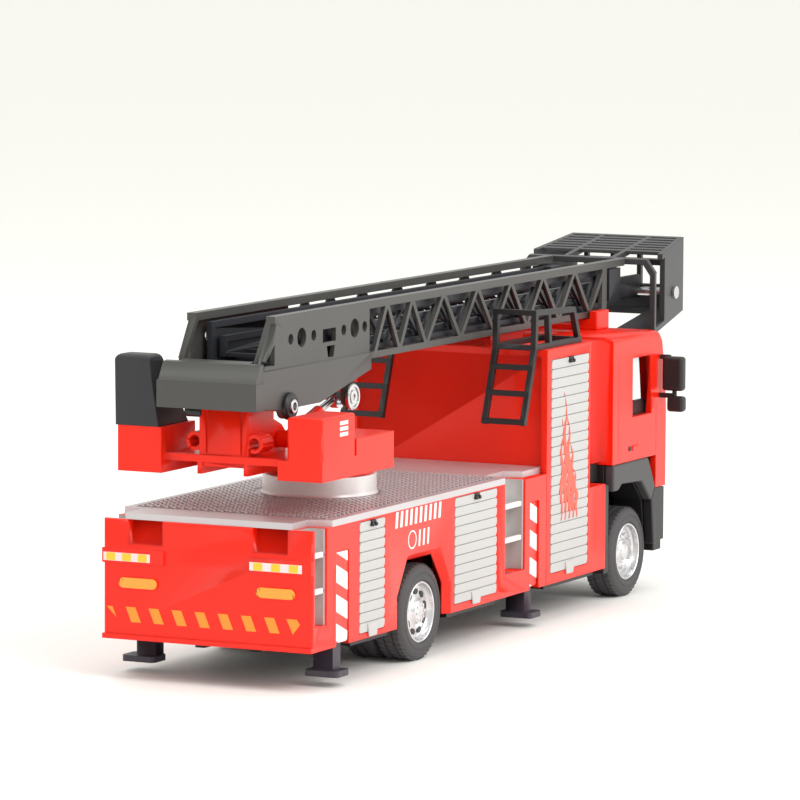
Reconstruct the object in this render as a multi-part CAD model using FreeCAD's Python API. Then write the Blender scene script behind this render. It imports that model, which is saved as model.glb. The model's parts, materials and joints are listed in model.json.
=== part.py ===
# Toy fire engine with a turntable ladder. Millimetres, +X to the front, +Y to the left, +Z up.
# Lengths are set out from the rear panel, then every piece is moved so that X = 0 is the middle.
import FreeCAD, Part
import math
import os

os.makedirs("parts", exist_ok=True)
V = FreeCAD.Vector

# Painted body
body_width = 56.0            # outside of the painted sides
wall = 1.8                   # moulded wall thickness
skirt_z = 9.7                # underside of the body sides
rear_body_top = 38.5         # top of the rear body, under the deck plate
rear_body_length = 131.3
lip = 0.7                    # how far the bottom rib stands out
corner_radius = 0.7          # upright corners of the rear panel
module_length = 29.0         # tall locker module, upper part
module_skirt_length = 37.2   # tall locker module, lower part
module_roof_z = 70.3
cab_gap = 12.5               # between the module and the cab
cab_length = 35.2
cab_roof_z = 70.0
cab_sill_z = 36.4            # underside of the cab over the wheels
seam = 0.2                   # gap left between neighbouring mouldings

# Running gear
wheel_radius = 11.95
front_tyre_width = 8.4
twin_width = 17.0            # a pair of rear tyres, side by side
rear_tyre_inset = 0.6        # twin tyres inside the painted sides
front_tyre_inset = 1.3
rim_radius = 7.6
axle_radius = 1.2
axle_play = 0.05             # radial clearance of each axle in its block
rear_axle_x = 60.0
front_axle_setback = 14.0    # front axle, ahead of the back of the cab
arch_gap = 1.2               # round the tyre inside the arch
chassis_thickness = 2.5
spine_half = 14.5            # half width of the chassis between the front wheels
twin_spine_half = 9.5        # and between the twin rear wheels
rear_raise = 1.6             # the base plate is thinner behind the rear outriggers
screw_head_radius = 1.9
screw_recess = 1.3           # depth of the recess that hides each screw head

# Lockers, steps and slots in the sides
bay_depth = 5.0
pocket = 1.0                 # depth of the shallow pockets that hold the shutters
shutter_play = 0.1
slat_pitch = 2.1
step_bays = ((1.3, 7.5), (106.6, 118.5))
bay_floor_z = 15.5
shutter_bays = {"rear": (24.5, 38.2, 11.0, 38.0), "middle": (77.0, 101.5, 11.5, 38.2)}
tall_shutter = (2.5, 25.7, 12.3, 67.6)   # measured from the back of the module

# Outriggers
outrigger_xs = {"rear": (12.6, 18.8), "front": (121.7, 126.8)}
outrigger_insets = {"rear": 0.2, "front": 0.5}
outrigger_play = 0.2
outrigger_top = 32.1
foot_z = 2.5
foot_thickness = 1.5
foot_width = 9.0
leg_width = 5.2
foot_reach = 1.4             # feet stand out past the end plates
foot_back = {"rear": 1.6, "front": 0.4}   # feet set back from the middle of the beam

# Deck and turntable
deck_thickness = 1.6
slew_x = 58.4
ring_radius = 14.05
ring_height = 4.9
spigot_radius = 8.7
slew_play = 0.3
turret_gap = 0.2
platform_height = 9.2        # underside of the rear platform, above the deck
platform_rear_x = 6.0
platform_front_x = 44.0
platform_side_gap = 0.6      # platform sides inside the body sides

# Ladder
pivot_x = 17.7
pivot_height = 25.6          # ladder pivot above the deck
pivot_pin_radius = 1.5
pin_play = 0.05
ladder_half = 11.8           # outside of the base section
rail_bottom_rise = 7.5       # base section's lower rail above the pivot
ladder_depth = 14.2          # lower edge to upper edge of the base section
rail_height = 1.9
web = 1.2                    # thickness of the side webs
section_gap = 0.4            # sideways gap between one section and the next
section_rise = 1.6           # each inner section sits this much higher
inner_web = 1.4              # thickness of the inner sections' sides
panel = 20.0                 # pitch of the truss panels
rung_pitch = 10.0
brace = 1.3                  # width of a truss diagonal
ladder_short_of_cab = 3.4    # base section stops this far behind the front of the cab
tip_reach = 27.6             # inner section's tip ahead of the front of the cab
frame_rear_x = -0.6

# Lift cylinders
foot_dx = 6.3                # cylinder foot ahead of the ladder pivot
foot_drop = 8.7              # and below it
head_dx = 33.3               # head pin ahead of the ladder pivot
head_drop = 0.8
cylinder_y = 8.4
tube_radius = 1.5
rod_radius = 0.9
rod_play = 0.1
tube_length = 18.0
eye_play = 1.0               # radial room round the head pin

# Rescue basket
basket_rear_gap = 9.9        # rear hoop ahead of the cab's front
basket_half_rear = 20.1
basket_half_front = 16.7
bar = 1.5                    # thickness of the basket's bars
hub_radius = 1.2

# Sizes that follow from those above
half = body_width / 2
axle_z = wheel_radius
chassis_top = axle_z - axle_radius - axle_play
module_x = rear_body_length + seam
module_front = module_x + module_length
cab_rear = module_front + cab_gap
cab_front = cab_rear + cab_length
front_axle_x = cab_rear + front_axle_setback
axle_xs = {"rear": rear_axle_x, "front": front_axle_x}
deck_z = rear_body_top + deck_thickness
platform_z = deck_z + platform_height
platform_half = half - platform_side_gap
pivot_z = deck_z + pivot_height
rail_z = pivot_z + rail_bottom_rise
ladder_top = rail_z + ladder_depth
base_front = cab_front - ladder_short_of_cab
tyre_outer = {"rear": half - rear_tyre_inset, "front": half - front_tyre_inset}
tyre_width = {"rear": twin_width, "front": front_tyre_width}
basket_rear = cab_front + basket_rear_gap
basket_front = basket_rear + 27.4
middle_x = (basket_front - lip) / 2


def block(x0, x1, y0, y1, z0, z1):
    low = V(min(x0, x1), min(y0, y1), min(z0, z1))
    return Part.makeBox(abs(x1 - x0), abs(y1 - y0), abs(z1 - z0), low)


def slab(points, axis, start, end):
    """A flat outline pushed along one axis. The outline holds the other two axes, in order."""
    place = {
        "x": lambda a, b: V(start, a, b),
        "y": lambda a, b: V(a, start, b),
        "z": lambda a, b: V(a, b, start),
    }[axis]
    way = {"x": V(1, 0, 0), "y": V(0, 1, 0), "z": V(0, 0, 1)}[axis]
    corners = [place(a, b) for a, b in points]
    face = Part.Face(Part.makePolygon(corners + corners[:1]))
    return face.extrude(way * (end - start))


def rod(start, end, radius):
    along = end - start
    return Part.makeCylinder(radius, along.Length, start, along)


def across(x, z, radius, y0, y1):
    """A cylinder that lies across the truck."""
    return rod(V(x, min(y0, y1), z), V(x, max(y0, y1), z), radius)


def upright(x, y, radius, z0, z1):
    return rod(V(x, y, z0), V(x, y, z1), radius)


def joined(shapes):
    shapes = list(shapes)
    return shapes[0].multiFuse(shapes[1:]).removeSplitter() if len(shapes) > 1 else shapes[0]


def without(shape, cuts):
    for cut in cuts:
        shape = shape.cut(cut)
    return shape


def strut(start, end, width, y0, y1):
    """A flat bar between two points of a side frame, given as (x, z)."""
    ax, az = start
    bx, bz = end
    length = math.hypot(bx - ax, bz - az)
    sx = -(bz - az) / length * width / 2
    sz = (bx - ax) / length * width / 2
    outline = [(ax + sx, az + sz), (bx + sx, bz + sz), (bx - sx, bz - sz), (ax - sx, az - sz)]
    return slab(outline, "y", min(y0, y1), max(y0, y1))


def rounded(shape, radius, pick):
    edges = [edge for edge in shape.Edges if pick(edge)]
    return shape.makeFillet(radius, edges) if edges else shape


def is_upright(edge, x, y):
    ends = [vertex.Point for vertex in edge.Vertexes]
    return len(ends) == 2 and all(abs(p.x - x) < 0.01 and abs(abs(p.y) - y) < 0.01 for p in ends)


def both_sides(make, *sizes):
    """A left and a right piece that share one node."""
    return Part.makeCompound([make(side, *sizes) for side in (1, -1)])


# Painted body

def screw_spots():
    return [(x, y) for x in (34.0, 90.0, module_x + 18.0) for y in (-18.0, 18.0)]


def screw_posts(x_from, x_to, top):
    """Posts inside a shell that the base screws bite into, each on a rib to the side wall."""
    posts = []
    for x, y in screw_spots():
        if x_from < x < x_to:
            rib = block(x - 0.6, x + 0.6, y, math.copysign(half - wall + 0.2, y), chassis_top, top)
            post = joined([upright(x, y, 2.2, chassis_top, top), rib])
            posts.append(post.cut(upright(x, y, 0.95, chassis_top - 1, chassis_top + 5)))
    return posts


def arch_outline(axle_x, grow):
    reach = wheel_radius + arch_gap + grow
    low = skirt_z - 3
    shoulder = wheel_radius + 5.5
    top = 2 * wheel_radius + arch_gap + 0.2 + grow
    return [(axle_x - reach, low), (axle_x - reach, shoulder), (axle_x - reach + 6, top),
            (axle_x + reach - 6, top), (axle_x + reach, shoulder), (axle_x + reach, low)]


def arch_cut(side):
    """Through the side wall, with a bevel that widens outwards."""
    def ring(y, grow):
        corners = [V(x, y, z) for x, z in arch_outline(rear_axle_x, grow)]
        return Part.makePolygon(corners + corners[:1])

    opening = slab(arch_outline(rear_axle_x, 0), "y", side * (half - wall - 1), side * (half + 1))
    bevel = Part.makeLoft([ring(side * (half - wall), 0), ring(side * (half + 0.01), 1.9)], True, True)
    return joined([opening, bevel])


def bay_cut(side, span, depth, low, high):
    return block(span[0], span[1], side * (half - depth), side * (half + 1), low, high)


def rear_body_shell():
    shell = block(0, rear_body_length, -half, half, skirt_z, rear_body_top)
    shell = rounded(shell, corner_radius, lambda edge: is_upright(edge, 0, half))
    inside = block(wall, rear_body_length + 1, wall - half, half - wall, skirt_z - 1, rear_body_top - wall)
    shell = shell.cut(inside)
    adds = [block(-lip, wall, -half, half, skirt_z, skirt_z + 1.2)]
    cuts = [upright(slew_x, 0, spigot_radius + slew_play, rear_body_top - wall - 1, rear_body_top + 1)]
    for side in (1, -1):
        adds.append(block(0.5, 3.0 + wall, side * 10.5, side * 23.0, 31.0, rear_body_top - 0.5))
        adds.append(block(-lip, 0.9, side * 11.5, side * half, 28.0, 31.5))
        cuts.append(block(-1, 3.0, side * 12.0, side * 21.5, 32.5, rear_body_top + 1))
        for start, end in step_bays:
            back = side * (half - bay_depth - 1.2)
            adds.append(block(max(start - 1.2, 0.5), end + 1.2, back, side * (half - 0.5),
                              bay_floor_z - 1.2, rear_body_top - 0.5))
            cuts.append(bay_cut(side, (start, end), bay_depth, bay_floor_z, rear_body_top + 1))
        for x0, x1, z0, z1 in shutter_bays.values():
            cuts.append(bay_cut(side, (x0, x1), pocket, z0, z1))
        for x0, x1 in outrigger_xs.values():
            cuts.append(bay_cut(side, (x0 - outrigger_play, x1 + outrigger_play), wall + 1,
                                skirt_z - 1, outrigger_top + outrigger_play))
        cuts.append(arch_cut(side))
    adds += screw_posts(0, rear_body_length, rear_body_top - wall + 0.2)
    return without(joined([shell] + adds), cuts)


def module_shell():
    """The tall locker module behind the cab. Its back wall stands a little inside its sides."""
    skirt_front = module_x + module_skirt_length
    upper = block(module_x, module_front, -half, half, skirt_z, module_roof_z)
    upper = rounded(upper, 2.5, lambda edge: is_upright(edge, module_front, half))
    shell = joined([upper, block(module_x, skirt_front, -half, half, skirt_z, 32.0)])
    hollow_view = [(module_x + 2 + wall, skirt_z - 1), (skirt_front - wall, skirt_z - 1),
                   (skirt_front - wall, 32 - wall), (module_front - wall, 32 - wall),
                   (module_front - wall, module_roof_z - wall), (module_x + 2 + wall, module_roof_z - wall)]
    cuts = [slab(hollow_view, "y", wall - half, half - wall),
            block(module_x - 1, module_x + 2, wall - half, half - wall, skirt_z - 1, module_roof_z - wall),
            block(module_x - 1, module_x + 4 + wall, wall - half, half - wall, skirt_z - 1, rear_body_top - wall),
            block(skirt_front - 3, skirt_front + 1, -spine_half - 0.3, spine_half + 0.3,
                  skirt_z - 1, chassis_top + 0.3)]
    start, end, low, high = tall_shutter
    for side in (1, -1):
        cuts.append(bay_cut(side, (module_x + start, module_x + end), pocket, low, high))
    hatch = block(module_x + 6, module_front - 3, -9, 9, module_roof_z - 0.5, module_roof_z + 2.2)
    return joined([without(shell, cuts), hatch] + screw_posts(module_x, skirt_front, 30.0))


def deck_plate():
    """The tread plate. It narrows beside both step bays and clears the sides of the module."""
    bay = bay_depth + 1.0
    right = [(0.6, 0), (0.6, half - bay + 0.4), (8.6, half - bay + 0.4), (10.4, half),
             (106.4, half), (108.6, half - bay - 0.6), (119.0, half - bay - 0.6),
             (121.2, half - wall - seam), (module_x + 2 - seam, half - wall - seam),
             (module_x + 2 - seam, 0)]
    left = [(x, -y) for x, y in reversed(right[1:-1])]
    plate = slab(right[1:-1] + left, "z", rear_body_top, deck_z)
    return plate.cut(upright(slew_x, 0, spigot_radius + slew_play, rear_body_top - 1, deck_z + 1))


def turntable_ring():
    foot = Part.makeCone(ring_radius + 0.5, ring_radius, 1.0, V(slew_x, 0, deck_z))
    collar = upright(slew_x, 0, ring_radius, deck_z + 1.0, deck_z + ring_height)
    bore = upright(slew_x, 0, spigot_radius + slew_play, deck_z - 1, deck_z + ring_height + 1)
    return joined([foot, collar]).cut(bore)


def shutter(side, x0, x1, z0, z1):
    """A roller shutter: a stack of slats, each thicker at its lower edge, and a lift tab."""
    play = shutter_play
    back = half - pocket + play
    count = int((z1 - z0 - 2 * play) / slat_pitch)
    step = (z1 - z0 - 2 * play) / count
    outline = [(side * back, z0 + play)]
    for number in range(count):
        low = z0 + play + number * step
        outline.append((side * (half + 0.25), low))
        outline.append((side * (half - 0.15), low + step * 0.93))
    outline.append((side * (half - 0.15), z1 - play))
    outline.append((side * back, z1 - play))
    middle = (x0 + x1) / 2
    tab = block(middle - 2.2, middle + 2.2, side * (half - 0.3), side * (half + 0.9), z0 + 1.2, z0 + 2.4)
    return joined([slab(outline, "x", x0 + play, x1 - play), tab])


def step_insert(side, span):
    """The grey liner of a step bay, with its two rungs."""
    start, end = span
    inner = half - bay_depth + 0.05
    gap = 0.1
    top = rear_body_top - 0.1
    liner = block(start + gap, end - gap, side * inner, side * (inner + 0.9), bay_floor_z + gap, top)
    front = block(end - gap - 0.8, end - gap, side * inner, side * (half - 0.5), bay_floor_z + gap, top)
    rungs = [block(start + gap, end - gap, side * inner, side * (half - 0.7), z, z + 1.2) for z in (23.2, 31.8)]
    return joined([liner, front] + rungs)


def rear_lamps():
    """Two raised oval lamps on the back."""
    lamps = []
    for side in (1, -1):
        ends = [rod(V(-lip, side * y, 23.35), V(0, side * y, 23.35), 1.25) for y in (14.6, 22.3)]
        bar_part = block(-lip, 0, side * 14.6, side * 22.3, 22.1, 24.6)
        lamps.append(joined(ends + [bar_part]))
    return Part.makeCompound(lamps)


# Chassis and running gear

def chassis_base():
    """The black base plate: spine, tabs under the lockers, axle blocks, beam guides and mudguards."""
    low = chassis_top - chassis_thickness
    tab_half = half - wall - 0.3
    spine = block(4.0, cab_front - 5.0, -spine_half, spine_half, low, chassis_top)
    waist = [block(rear_axle_x - wheel_radius - 1.2, rear_axle_x + wheel_radius + 1.2, side * twin_spine_half,
                   side * (spine_half + 1), low - 1, chassis_top + 1) for side in (1, -1)]
    waist.append(block(3.0, outrigger_xs["rear"][0] + 3.4, -spine_half - 1, spine_half + 1, low - 1, low + rear_raise))
    lugs = [block(5.0, 9.0, 3.2, 5.8, low, low + rear_raise + 0.4), upright(6.4, -9.7, 1.5, low, low + rear_raise + 0.4)]
    tabs = [block(24.0, 44.0, -tab_half, tab_half, low, chassis_top),
            block(77.0, 105.0, -tab_half, tab_half, low, chassis_top),
            block(module_x + 3.0, module_x + 34.0, -tab_half, tab_half, low, chassis_top)]
    blocks = [block(rear_axle_x - 12, rear_axle_x + 12, -twin_spine_half, twin_spine_half, chassis_top, axle_z + 4),
              block(front_axle_x - 12, front_axle_x + 12, -spine_half, spine_half, chassis_top, cab_sill_z - 5.4)]
    guides = []
    for x0, x1 in outrigger_xs.values():
        for side in (1, -1):
            for edge, away in ((x0, -1), (x1, 1)):
                near = edge + away * outrigger_play
                guides.append(block(near, near + away, side * 8.5, side * spine_half,
                                    chassis_top, chassis_top + 6.5))
    guard_x = module_x + module_skirt_length
    guards = [block(guard_x, guard_x + 2.8, side * (spine_half - 1), side * (half - 0.4), low, 31.5)
              for side in (1, -1)]
    bores = [across(axle_x, axle_z, axle_radius + axle_play, -spine_half - 1, spine_half + 1)
             for axle_x in (rear_axle_x, front_axle_x)]
    holes = [upright(x, y, 1.1, low - 1, chassis_top + 1) for x, y in screw_spots()]
    recesses = [upright(x, y, screw_head_radius + 0.2, low - 1, low + screw_recess) for x, y in screw_spots()]
    plate = without(joined([spine] + tabs), waist)
    return without(joined([plate] + lugs + blocks + guides + guards), bores + holes + recesses)


def base_screws():
    """Screws that hold the base plate to the posts of the body, heads sunk into it from below."""
    low = chassis_top - chassis_thickness + screw_recess
    screws = []
    for x, y in screw_spots():
        head = upright(x, y, screw_head_radius, low - 1.1, low)
        shank = upright(x, y, 0.9, low, chassis_top + 4)
        slot = block(x - 1.4, x + 1.4, y - 0.2, y + 0.2, low - 1.2, low - 0.7)
        screws.append(joined([head, shank]).cut(slot))
    return Part.makeCompound(screws)


def link_block():
    """The black box that fills the gap between the module and the cab."""
    return block(module_front + seam, cab_rear - seam, -24.0, 24.0, 32.0, 37.0)


def tyre(row, side):
    """One tyre, or two moulded together with a groove between them."""
    axle_x = axle_xs[row]
    outer = tyre_outer[row]
    inner = outer - tyre_width[row]
    body = across(axle_x, axle_z, wheel_radius, side * inner, side * outer)
    body = body.makeFillet(1.1, [edge for edge in body.Edges if edge.Curve.TypeId == "Part::GeomCircle"])
    cuts = [across(axle_x, axle_z, rim_radius, side * (inner - 1), side * (outer + 1))]
    if row == "rear":
        middle = (outer + inner) / 2
        band = across(axle_x, axle_z, wheel_radius + 1, side * (middle - 0.5), side * (middle + 0.5))
        cuts.append(band.cut(across(axle_x, axle_z, wheel_radius - 2.5, side * inner, side * outer)))
    return without(body, cuts)


def rim(row, side):
    """A drum with a deep dish outside, a hub in its middle and the axle's end in the hub."""
    axle_x = axle_xs[row]
    outer = tyre_outer[row]
    inner = outer - tyre_width[row] + 0.4
    hub_reach = 1.6 if row == "rear" else 0.6
    drum = across(axle_x, axle_z, rim_radius, side * inner, side * (outer - 0.3))
    dish = across(axle_x, axle_z, rim_radius - 0.9, side * (outer - 2.2), side * (outer + 1))
    back = across(axle_x, axle_z, rim_radius - 1.2, side * (inner - 1), side * (outer - 4.0))
    hub = across(axle_x, axle_z, 2.9, side * inner, side * (outer - 2.2 + hub_reach))
    seat = across(axle_x, axle_z, axle_radius, side * (inner - 1), side * (outer - 3.0))
    return without(joined([without(drum, [dish, back]), hub]), [seat])


def axle(row):
    reach = tyre_outer[row] - 3.0
    return across(axle_xs[row], axle_z, axle_radius, -reach, reach)


# Outriggers

def outrigger_beam(side, row):
    """An end plate with the sliding beam behind it."""
    x0, x1 = outrigger_xs[row]
    outer = half - outrigger_insets[row]
    plate = block(x0, x1, side * (outer - 1.2), side * outer, skirt_z + 0.7, outrigger_top)
    plate = rounded(plate, 0.8, lambda edge: abs(edge.BoundBox.XLength) < 0.01
                    and abs(edge.BoundBox.ZLength) < 0.01 and edge.BoundBox.ZMin < skirt_z + 1)
    beam = block(x0 + 0.3, x1 - 0.3, side * 9.0, side * (outer - 1.2), chassis_top + 0.2, chassis_top + 6.0)
    return joined([plate, beam])


def outrigger_foot(side, row):
    """The short leg under the beam and its foot plate, which stays clear of the floor."""
    x0, x1 = outrigger_xs[row]
    middle = (x0 + x1) / 2
    outer = half - outrigger_insets[row]
    leg = block(middle - 2.0, middle + 2.0, side * (outer - 1.3 - leg_width), side * (outer - 1.3),
                foot_z + foot_thickness, chassis_top + 0.2)
    centre = middle - foot_back[row]
    reach = outer + foot_reach
    sole = block(centre - 3.4, centre + 3.4, side * (reach - foot_width), side * reach, foot_z, foot_z + foot_thickness)
    sole = rounded(sole, 1.2, lambda edge: edge.BoundBox.XLength < 0.01 and edge.BoundBox.YLength < 0.01)
    return joined([leg, sole])


# Cab

def cab_view(inset):
    """The cab from the side: a nearly upright front and a round roof edge."""
    front = cab_front - inset
    roof = cab_roof_z - inset
    return [(cab_rear + inset, 27.6 - 2 * inset), (front, 27.6 - 2 * inset), (front, 49.0), (front - 1.6, 61.0),
            (front - 3.0, roof - 3.2), (front - 5.2, roof - 0.8), (front - 7.6, roof), (cab_rear + inset, roof)]


def cab_skin():
    outer = slab(cab_view(0), "y", -half, half)
    outer = rounded(outer, 1.6, lambda edge: edge.BoundBox.XLength > 20 and edge.BoundBox.ZMin > cab_roof_z - 0.1)
    neck = block(module_front + seam, cab_rear + wall, -24.5, 24.5, 37.0 + seam, cab_roof_z - 0.6)
    inner = slab(cab_view(wall), "y", wall - half, half - wall)
    neck_inside = block(module_front + seam + wall, cab_rear + wall + 1, wall - 24.5, 24.5 - wall,
                        37.0 + seam + wall, cab_roof_z - 0.6 - wall)
    return without(joined([outer, neck]), [inner, neck_inside])


def windscreen_space(play):
    """A block that passes through the cab's front where the windscreen sits."""
    return slab([(cab_front - 7, 47.5 + play), (cab_front + 1, 47.5 + play), (cab_front + 1, 63.0 - play),
                 (cab_front - 7, 63.0 - play)], "y", 6.5 + play - half, half - 6.5 - play)


def fender_space(play):
    """The room under the cab that each wheel's fender takes up, full width."""
    return block(cab_rear - 1, cab_rear + 28.6 + play, -half - 1, half + 1, 20.0, cab_sill_z + play)


def cab_shell():
    cuts = [fender_space(0), windscreen_space(0),
            block(cab_front - 0.8, cab_front + 1, -14.0, 14.0, 31.0, 43.0)]
    window = [(cab_rear + 12.8, 48.0), (cab_rear + 25.4, 48.0), (cab_rear + 24.4, 63.6), (cab_rear + 12.8, 63.6)]
    for side in (1, -1):
        cuts.append(slab(window, "y", side * (half - wall - 1), side * (half + 1)))
    return without(cab_skin(), cuts)


def windscreen():
    return cab_skin().common(windscreen_space(0.05))


def front_grille():
    back = cab_front - 0.7
    plate = block(back, back + 0.6, -13.9, 13.9, 31.1, 42.9)
    bars = [block(back, cab_front + 0.5, -13.9, 13.9, z, z + 1.0) for z in (32.0, 34.6, 37.2, 39.8, 41.8)]
    return joined([plate] + bars)


def cab_interior():
    """One black moulding: floor, two seats and the dashboard."""
    floor = block(cab_rear + 2.2, cab_front - 2.6, -25.8, 25.8, cab_sill_z + 0.6, cab_sill_z + 2.6)
    parts_inside = [floor]
    for side in (1, -1):
        parts_inside.append(block(cab_rear + 3.5, cab_rear + 13.0, side * 5.0, side * 21.0,
                                  cab_sill_z + 2.0, cab_sill_z + 8.5))
        parts_inside.append(block(cab_rear + 3.5, cab_rear + 6.5, side * 5.0, side * 21.0,
                                  cab_sill_z + 2.0, cab_sill_z + 20.0))
        parts_inside.append(block(cab_rear + 13.6, cab_rear + 27.0, side * 24.4, side * 25.8,
                                  cab_sill_z + 2.0, cab_sill_z + 15.2))
    parts_inside.append(block(cab_front - 9.0, cab_front - 3.0, -25.8, 25.8, cab_sill_z + 2.0, cab_sill_z + 11.5))
    return joined(parts_inside)


def steering_wheel():
    centre = V(cab_front - 12.0, 13.0, cab_sill_z + 13.0)
    tilt = V(-1, 0, 0.5)
    wheel = Part.makeTorus(3.4, 0.55, centre, tilt)
    spoke = Part.makeCylinder(3.4, 0.5, centre, tilt)
    stem = rod(centre, V(cab_front - 9.0, 13.0, cab_sill_z + 11.0), 0.8)
    dash = block(cab_front - 9.0, cab_front, 0, half, cab_sill_z, cab_sill_z + 11.5)
    return joined([wheel, spoke, stem]).cut(dash)


def fender(side):
    """The grey arch over a front wheel."""
    left = cab_rear + 0.2
    right = cab_rear + 28.4
    top = cab_sill_z
    outline = [(left, top), (right - 5.4, top), (right, 27.0), (right, 12.6), (right - 1.7, 12.6),
               (right - 3.2, 24.4), (right - 9.6, 30.3), (left + 5.7, 30.9), (left + 3.2, 29.4), (left, 29.4)]
    return slab(outline, "y", min(side * 17.0, side * (half + 0.2)), max(side * 17.0, side * (half + 0.2)))


def front_bumper():
    low = 13.2
    high = 27.4
    body = block(cab_rear + 28.7, cab_front + 0.6, -half, half, low, high)
    body = rounded(body, 2.0, lambda edge: is_upright(edge, cab_front + 0.6, half))
    cuts = [block(cab_rear + 20, cab_front - 1.4, 2 - half, half - 2, low - 1, high - 2)]
    for side in (1, -1):
        cuts.append(block(cab_front - 0.6, cab_front + 2, side * 16.0, side * 24.0, 19.0, 23.6))
    return without(body, cuts)


def bumper_skirt():
    return block(cab_front - 5.0, cab_front + 0.2, 1.2 - half, half - 1.2, 10.2, 13.1)


def headlamps():
    return Part.makeCompound([block(cab_front - 0.55, cab_front + 0.8, side * 16.05, side * 23.95, 19.05, 23.55)
                              for side in (1, -1)])


def sun_visor():
    outline = [(cab_front - 1.5, 63.2), (cab_front + 1.6, 62.2), (cab_front + 2.0, 63.0),
               (cab_front - 2.4, 66.6), (cab_front - 2.85, 66.4)]
    return slab(outline, "y", 2 - half, half - 2).cut(slab(cab_view(0), "y", -half, half))


def mirror(side):
    """A tall mirror over a small one, on two arms from the windscreen pillar."""
    x0 = cab_front - 5.6
    x1 = cab_front - 2.6
    tall = block(x0, x1, side * (half + 1.0), side * (half + 7.0), 53.6, 62.8)
    small = block(x0 + 0.2, x1 - 0.2, side * (half + 2.4), side * (half + 7.2), 48.0, 52.2)
    arms = [block(x0 + 0.8, x1 - 0.8, side * half, side * (half + 4.0), 62.4, 63.8),
            block(x0 + 0.8, x1 - 0.8, side * half, side * (half + 5.6), 52.1, 53.7)]
    return joined([tall, small] + arms)


def ladder_rest():
    """The cradle on the cab roof that the stowed ladder lies in."""
    x0 = cab_front - 16.0
    top = rail_z - 0.3
    base = block(x0, x0 + 8.0, -14.6, 14.6, cab_roof_z, cab_roof_z + 1.4)
    adds = [base]
    for side in (1, -1):
        adds.append(block(x0, x0 + 8.0, side * 7.5, side * 14.6, cab_roof_z + 1.0, top))
        adds.append(block(x0, x0 + 8.0, side * (ladder_half + 0.5), side * 14.6, top - 0.5, rail_z + 1.8))
    return joined(adds)


def climb_ladder(side):
    """The access ladder behind the module and the handrail on the module's roof, in flat bar."""
    thick = 1.4
    inner = 14.0
    outer = 26.2
    foot = (module_x - 9.4, 51.7)
    knee = (module_x - 2.9, module_roof_z)
    top = (module_x - 2.5, module_roof_z + 10.3)
    corner = (module_front - 8.0, top[1] - 0.8)
    front = (module_front - 4.6, module_roof_z)

    def bar(start, end, y):
        return strut(start, end, thick, side * y, side * (y + thick))

    adds = []
    for y in (inner, outer - thick):
        adds.append(bar(foot, knee, y))
        adds.append(bar((knee[0], knee[1] - 0.4), top, y))
        adds.append(bar((knee[0], knee[1] + 0.7), (front[0] + 0.7, knee[1] + 0.7), y))
    for z in (51.8, 58.8, 65.3, module_roof_z):
        share = (z - foot[1]) / (knee[1] - foot[1])
        x = foot[0] + (knee[0] - foot[0]) * share
        adds.append(block(x - 0.6, x + 0.6, side * inner, side * outer, z, z + 1.4))
    adds.append(block(top[0] - 0.7, top[0] + 0.7, side * inner, side * outer, top[1] - 1.4, top[1]))
    y = outer - thick
    adds.append(bar((top[0] - 0.6, top[1] - 0.7), (corner[0], corner[1] - 0.7), y))
    adds.append(bar((corner[0] - 0.4, corner[1] - 0.5), front, y))
    adds.append(bar((module_x + 6.0, module_roof_z), (module_x + 5.0, top[1] - 0.7), y))
    adds.append(block(front[0] - 0.7, front[0] + 0.7, side * inner, side * outer, module_roof_z, module_roof_z + 1.4))
    return joined(adds).cut(block(module_x, module_front + 5, -half, half, 40, module_roof_z))


# Turntable

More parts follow.
